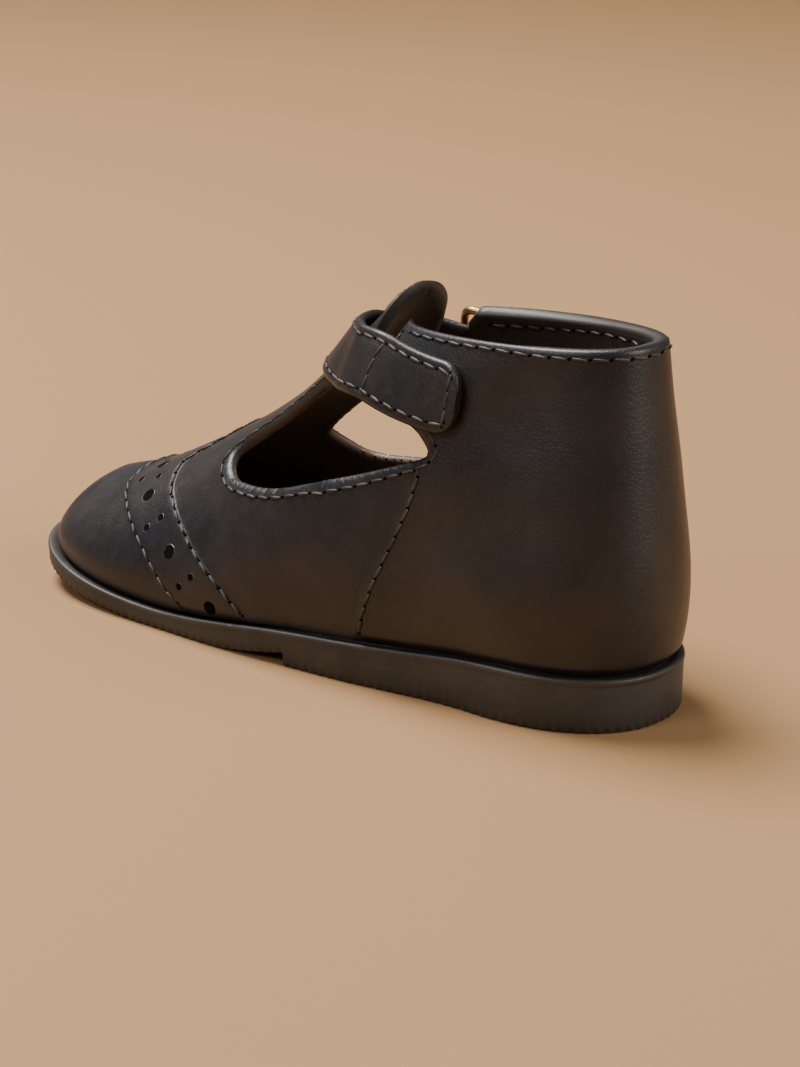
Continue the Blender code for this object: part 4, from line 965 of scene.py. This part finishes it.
roundedStrip("buckleKeeper", foldRun[-1], lambda s: np.full_like(s, tipWidth / 2 - 2 * gap),
             tabLeather, 70, 15, foldPoint, "buckle_tab")
print("buckle")

# stitching: short capsules laid end to end along a line, with a needle hole between each two, drawn as a small dark
# capsule of painted shade
stitchSize = dict(pitch=0.0035, length=0.0027, radius=0.00031, holeRadius=0.00044)
stitchSets = []


def walkLine(points, pitch):  # even places along a line
    run = pathLength(points)
    n = max(2, int(round(run[-1] / pitch)))
    s = (np.arange(n) + 0.5) * run[-1] / n
    before, place, after = (pointAt(np.clip(s + d, 0, run[-1]), run, points) for d in (-0.0008, 0, 0.0008))
    return place, unit(after - before), pointAt(np.arange(n + 1) * run[-1] / n, run, points)


def sew(points, normals=None, pitch=stitchSize["pitch"]):
    middle, along, ends = walkLine(points, pitch)
    if normals is None:
        middle, out = onSurface(middle)
        ends, endOut = onSurface(ends)
    else:
        marks = np.linspace(0, 1, len(normals))
        out, endOut = (unit(pointAt(np.linspace(0, 1, len(a)), marks, normals)) for a in (middle, ends))
    along = unit(along - out * np.sum(along * out, -1, keepdims=True))
    stitchSets.append((middle, along, out, ends, endOut))


def laidFrom(starts, aim):  # where rays from these places first meet the skin
    hits = [tree.ray_cast(Vector(p), Vector(aim))[0] for p in starts]
    return np.array([h for h in hits if h is not None])


def sideLine(xs, zs, s):  # a line of the side view, laid on the skin
    return laidFrom(np.column_stack([xs, np.full(len(xs), s * 0.06), zs]), (0, -s, 0))


neighbours = (((slice(None, -1),), (slice(1, None),)),
              ((slice(None), slice(None, -1)), (slice(None), slice(1, None))))


def openingLine(s, distance):  # places on the skin at one distance from the opening, in order round its middle
    columns = innerSide if s > 0 else outerSide
    away, skin = edge[columns] - distance, outer[columns]
    places = []
    for axis in (0, 1):
        (a0, p0), (a1, p1) = ((away[part], skin[part]) for part in neighbours[axis])
        cross = a0 * a1 < 0
        t = (a0 / np.where(cross, a0 - a1, 1.0))[cross][:, None]
        places.append(p0[cross] * (1 - t) + p1[cross] * t)
    p = np.concatenate(places)
    p = p[(p[:, 2] < upperSize["collarHeight"] - 0.002) | (p[:, 0] > quarterFront + 0.006)]
    p = p[~((p[:, 2] > 0.0630) & (p[:, 0] > 0.05))]
    angle = (np.arctan2(p[:, 2] - 0.042, p[:, 0] - 0.062) - np.pi / 2 - 0.10) % (2 * np.pi)
    p, angle = p[np.argsort(angle)], np.sort(angle)
    which = np.digitize(angle, np.linspace(0, 2 * np.pi, 181))
    p = np.array([p[which == k].mean(0) for k in np.unique(which)])
    jumps = np.nonzero(np.linalg.norm(np.diff(p, axis=0), axis=1) > 0.0060)[0] + 1
    return [soften(part, 2) for part in np.split(p, jumps) if len(part) > 4]


# round the collar, 1.7 mm below its rim outside and 2.6 mm inside
inFront = np.arange(loop)[(loopTurn[:, 0] < 0.440)]
order = np.concatenate([inFront[inFront >= count], inFront[inFront < count]])
for skin, down in ((outer, 0.0017), (inner, 0.0026)):
    ringLine, ringOut = (np.array([pointAt(-down, -arc[i], grid[i]) for i in order]) for grid in (skin, fineNormal))
    sew(ringLine, None if skin is outer else -ringOut)
for s in (1, -1):
    # one line just outside the whole opening: vamp's edge, T-bar and the quarter's front
    for part in openingLine(s, 0.0019):
        sew(part)
    # down the seam, on the quarter's side of its edge
    zs = np.linspace(0.0098, throatLow - (upperSize["outerDrop"] if s < 0 else 0.0) + 0.0095, 60)
    sew(sideLine(smoothCurve(zs, seamRows) - 0.0010, zs, s)[::-1], pitch=0.0031)
    # both lines of the toe band
    for rowsHere, low, high in ((bandFrontRows, 0.0062, 0.0222), (bandBackRows, 0.0072, 0.0275)):
        zs = np.linspace(low, high, 60)
        sew(sideLine(smoothCurve(zs, rowsHere), zs, s))
# across the top of the toe, joining both sides of each band line
for rowsHere, zTop, dip in ((bandFrontRows, 0.0222, 0.0), (bandBackRows, 0.0275, 0.0100)):
    xTop = smoothCurve(zTop, rowsHere)
    reach = sideLine([xTop], [zTop], 1)[0, 1] - toeShift(xTop)
    ys = np.linspace(-1, 1, 60) * reach
    xs = xTop - dip * smoothStep((0.0125 - np.abs(ys)) / 0.0125)
    sew(laidFrom(np.column_stack([xs, ys + toeShift(xs), np.full(60, 0.09)]), (0, 0, -1)))
# round the strap, 1.7 mm in from its edge, and across it where its sewn end stops
stitchTop = np.full(160, strapSize["thickness"] / 2 - 0.00012)
for s in (1, -1):
    run = np.linspace(stitchIn, frontBar - 0.0015, 160)
    sew(*strapPoint(run, s * (strapHalf(run) - stitchIn), stitchTop))
endLine = np.linspace(-1, 1, 40) * (strapHalf(np.array([stitchIn * 1.2]))[0] - stitchIn * 0.6)
sew(*strapPoint(np.full(40, stitchIn * 1.1), endLine, stitchTop[:40]))
crossAt = at[np.argmin(np.abs(line[:, 0] - strapSize["crossAt"]) + (line[:, 1] < 0))]
crossRow = np.linspace(-1, 1, 40) * (strapWidth[0] / 2 - stitchIn)
sew(*strapPoint(crossAt + 0.0008 * np.sin(np.linspace(0, np.pi, 40)), crossRow, stitchTop[:40]))

ringTurn, ringPlace = np.meshgrid(np.arange(6) * np.pi / 3, np.array([-0.98, -0.75, 0.0, 0.75, 0.98]))
capsuleRadius = np.sqrt(np.clip(1 - np.abs(ringPlace) ** 2.6, 0.02, 1))


def repeatedFaces(rows, loop, copies):  # closed rings with both ends, once for each copy
    start = (np.arange(copies) * rows * loop)[:, None, None]
    ends = np.stack([np.arange(loop)[::-1], (rows - 1) * loop + np.arange(loop)])
    return [(loopFaces(rows, loop) + start).reshape(-1, 4), (ends + start).reshape(-1, loop)]


def capsules(middle, along, out, length, radius, sink):  # one capsule for each place, all in one mesh
    sideways = np.cross(along, out)
    shape = (ringPlace[None, ..., None] * (length / 2) * along[:, None, None]
             + (capsuleRadius * np.cos(ringTurn))[None, ..., None] * radius * sideways[:, None, None]
             + (capsuleRadius * np.sin(ringTurn))[None, ..., None] * radius * out[:, None, None])
    points = middle[:, None, None] + out[:, None, None] * sink + shape
    return points.reshape(-1, 3), [group[:, ::-1] for group in repeatedFaces(5, 6, len(middle))]


middle, along, out = (np.concatenate([s[i] for s in stitchSets]) for i in range(3))
lean = unit(along + 0.10 * np.cross(along, out))  # each stitch lies a little across its line
points, faces = capsules(middle, lean, out, stitchSize["length"], stitchSize["radius"], 0.00008)
meshPiece("stitching", points, faces, thread, "upper_leather", sharp=1.2)
# painted shade: a dark capsule sunk in the skin at each needle hole
ends, endOut = (np.concatenate([s[i] for s in stitchSets]) for i in (3, 4))
helper = unit(np.cross(endOut, (0.3, 0.4, 0.8)))
points, faces = capsules(ends, helper, endOut, 2 * stitchSize["holeRadius"], stitchSize["holeRadius"], -0.00022)
meshPiece("paintedHoleShade", points, faces, holeShadePaint, "upper_leather", sharp=1.2)
# perforations: dark round plates of painted shade that lie in the skin, in place of the holes' shaded insides
discTurn = np.arange(20) * np.pi / 10
holeAt, holeOut = onSurface(holes[:, :3], 0.00004)
sideA = unit(np.cross(holeOut, (0.1, 0.2, 0.9)))
sideB = np.cross(holeOut, sideA)
rimPoints = holeAt[:, None] + holes[:, 3][:, None, None] * ringAround(sideA, sideB, discTurn)
lowPoints = rimPoints - holeOut[:, None] * 0.0005
discPoints = np.stack([lowPoints, rimPoints], 1).reshape(-1, 3)
meshPiece("perforationShadePlates", discPoints, repeatedFaces(2, 20, len(holes)), holeShadePaint, "upper_leather", sharp=0.5)
print("stitches:", len(middle))

# floor, light and camera
stageLook = dict(floorColour=(0.338, 0.187, 0.074), floorShade=(0.328, 0.180, 0.070), floorSize=6.0,
                 worldColour=(0.62, 0.60, 0.62), worldStrength=0.22)
photo = dict(azimuth=221.3586, elevation=18.0376, roll=0.98757, distance=0.5044,
             target=(0.05071, -0.01341, 0.01464), lens=88.69)

floorMaterial, floorShader, add, links = newMaterial("paleFloor")
floorWhere = add("ShaderNodeTexCoord").outputs["Object"]
floorTone = ramp(add, noise(add, floorWhere, 6, 3), [(0.2, (0.97, 0.97, 0.97)), (0.8, (1.0, 1.0, 1.0))])
floorColour = blendColour(add, floorTone, stageLook["floorShade"], stageLook["floorColour"])
links.new(floorColour, floorShader.inputs["Base Color"])
floorShader.inputs["Roughness"].default_value = 0.75
floorMesh = bpy.data.meshes.new("floor")
s = stageLook["floorSize"] / 2
floorMesh.from_pydata([(-s, -s, 0), (s, -s, 0), (s, s, 0), (-s, s, 0)], [], [(0, 1, 2, 3)])
floorMesh.materials.append(floorMaterial)
floor = bpy.data.objects.new("floor", floorMesh)
bpy.context.scene.collection.objects.link(floor)

world = bpy.data.worlds.new("studio")
world.use_nodes = True
world.node_tree.nodes["Background"].inputs[0].default_value = (*stageLook["worldColour"], 1.0)
world.node_tree.nodes["Background"].inputs[1].default_value = stageLook["worldStrength"]
bpy.context.scene.world = world

# each lamp: place, size, power and colour; all face the shoe
lamps = dict(keyLight=((0.66, 0.00, 1.30), 0.80, 46.0, (1.0, 0.97, 0.95)),
             sideLight=((-0.95, -0.35, 0.60), 0.8, 9.0, (1.0, 0.95, 0.9)),
             frontLight=((0.25, 1.15, 0.95), 0.7, 7.0, (0.88, 0.92, 1.0)))
for name, (place, size, power, colour) in lamps.items():
    data = bpy.data.lights.new(name, "AREA")
    data.shape, data.size, data.energy, data.color = "DISK", size, power, colour
    lamp = bpy.data.objects.new(name, data)
    lamp.location = place
    lamp.rotation_mode = "QUATERNION"
    lamp.rotation_quaternion = (Vector((0.045, 0, 0.03)) - Vector(place)).to_track_quat("-Z", "Y")
    bpy.context.scene.collection.objects.link(lamp)

a, e, roll = (np.radians(photo[k]) for k in ("azimuth", "elevation", "roll"))
backward = np.array([np.sin(a) * np.cos(e), -np.cos(a) * np.cos(e), np.sin(e)])
right = np.array([np.cos(a), np.sin(a), 0.0])
top = np.cross(backward, right)
right, top = right * np.cos(roll) + top * np.sin(roll), top * np.cos(roll) - right * np.sin(roll)
place = np.array(photo["target"]) + backward * photo["distance"]
camera = bpy.data.objects.new("camera", bpy.data.cameras.new("camera"))
camera.matrix_world = Matrix([[right[i], top[i], backward[i], place[i]] for i in range(3)] + [[0, 0, 0, 1]])
camera.data.lens, camera.data.sensor_width = photo["lens"], 36.0
camera.data.clip_start = 0.01
bpy.context.scene.collection.objects.link(camera)
bpy.context.scene.camera = camera
print("stage")
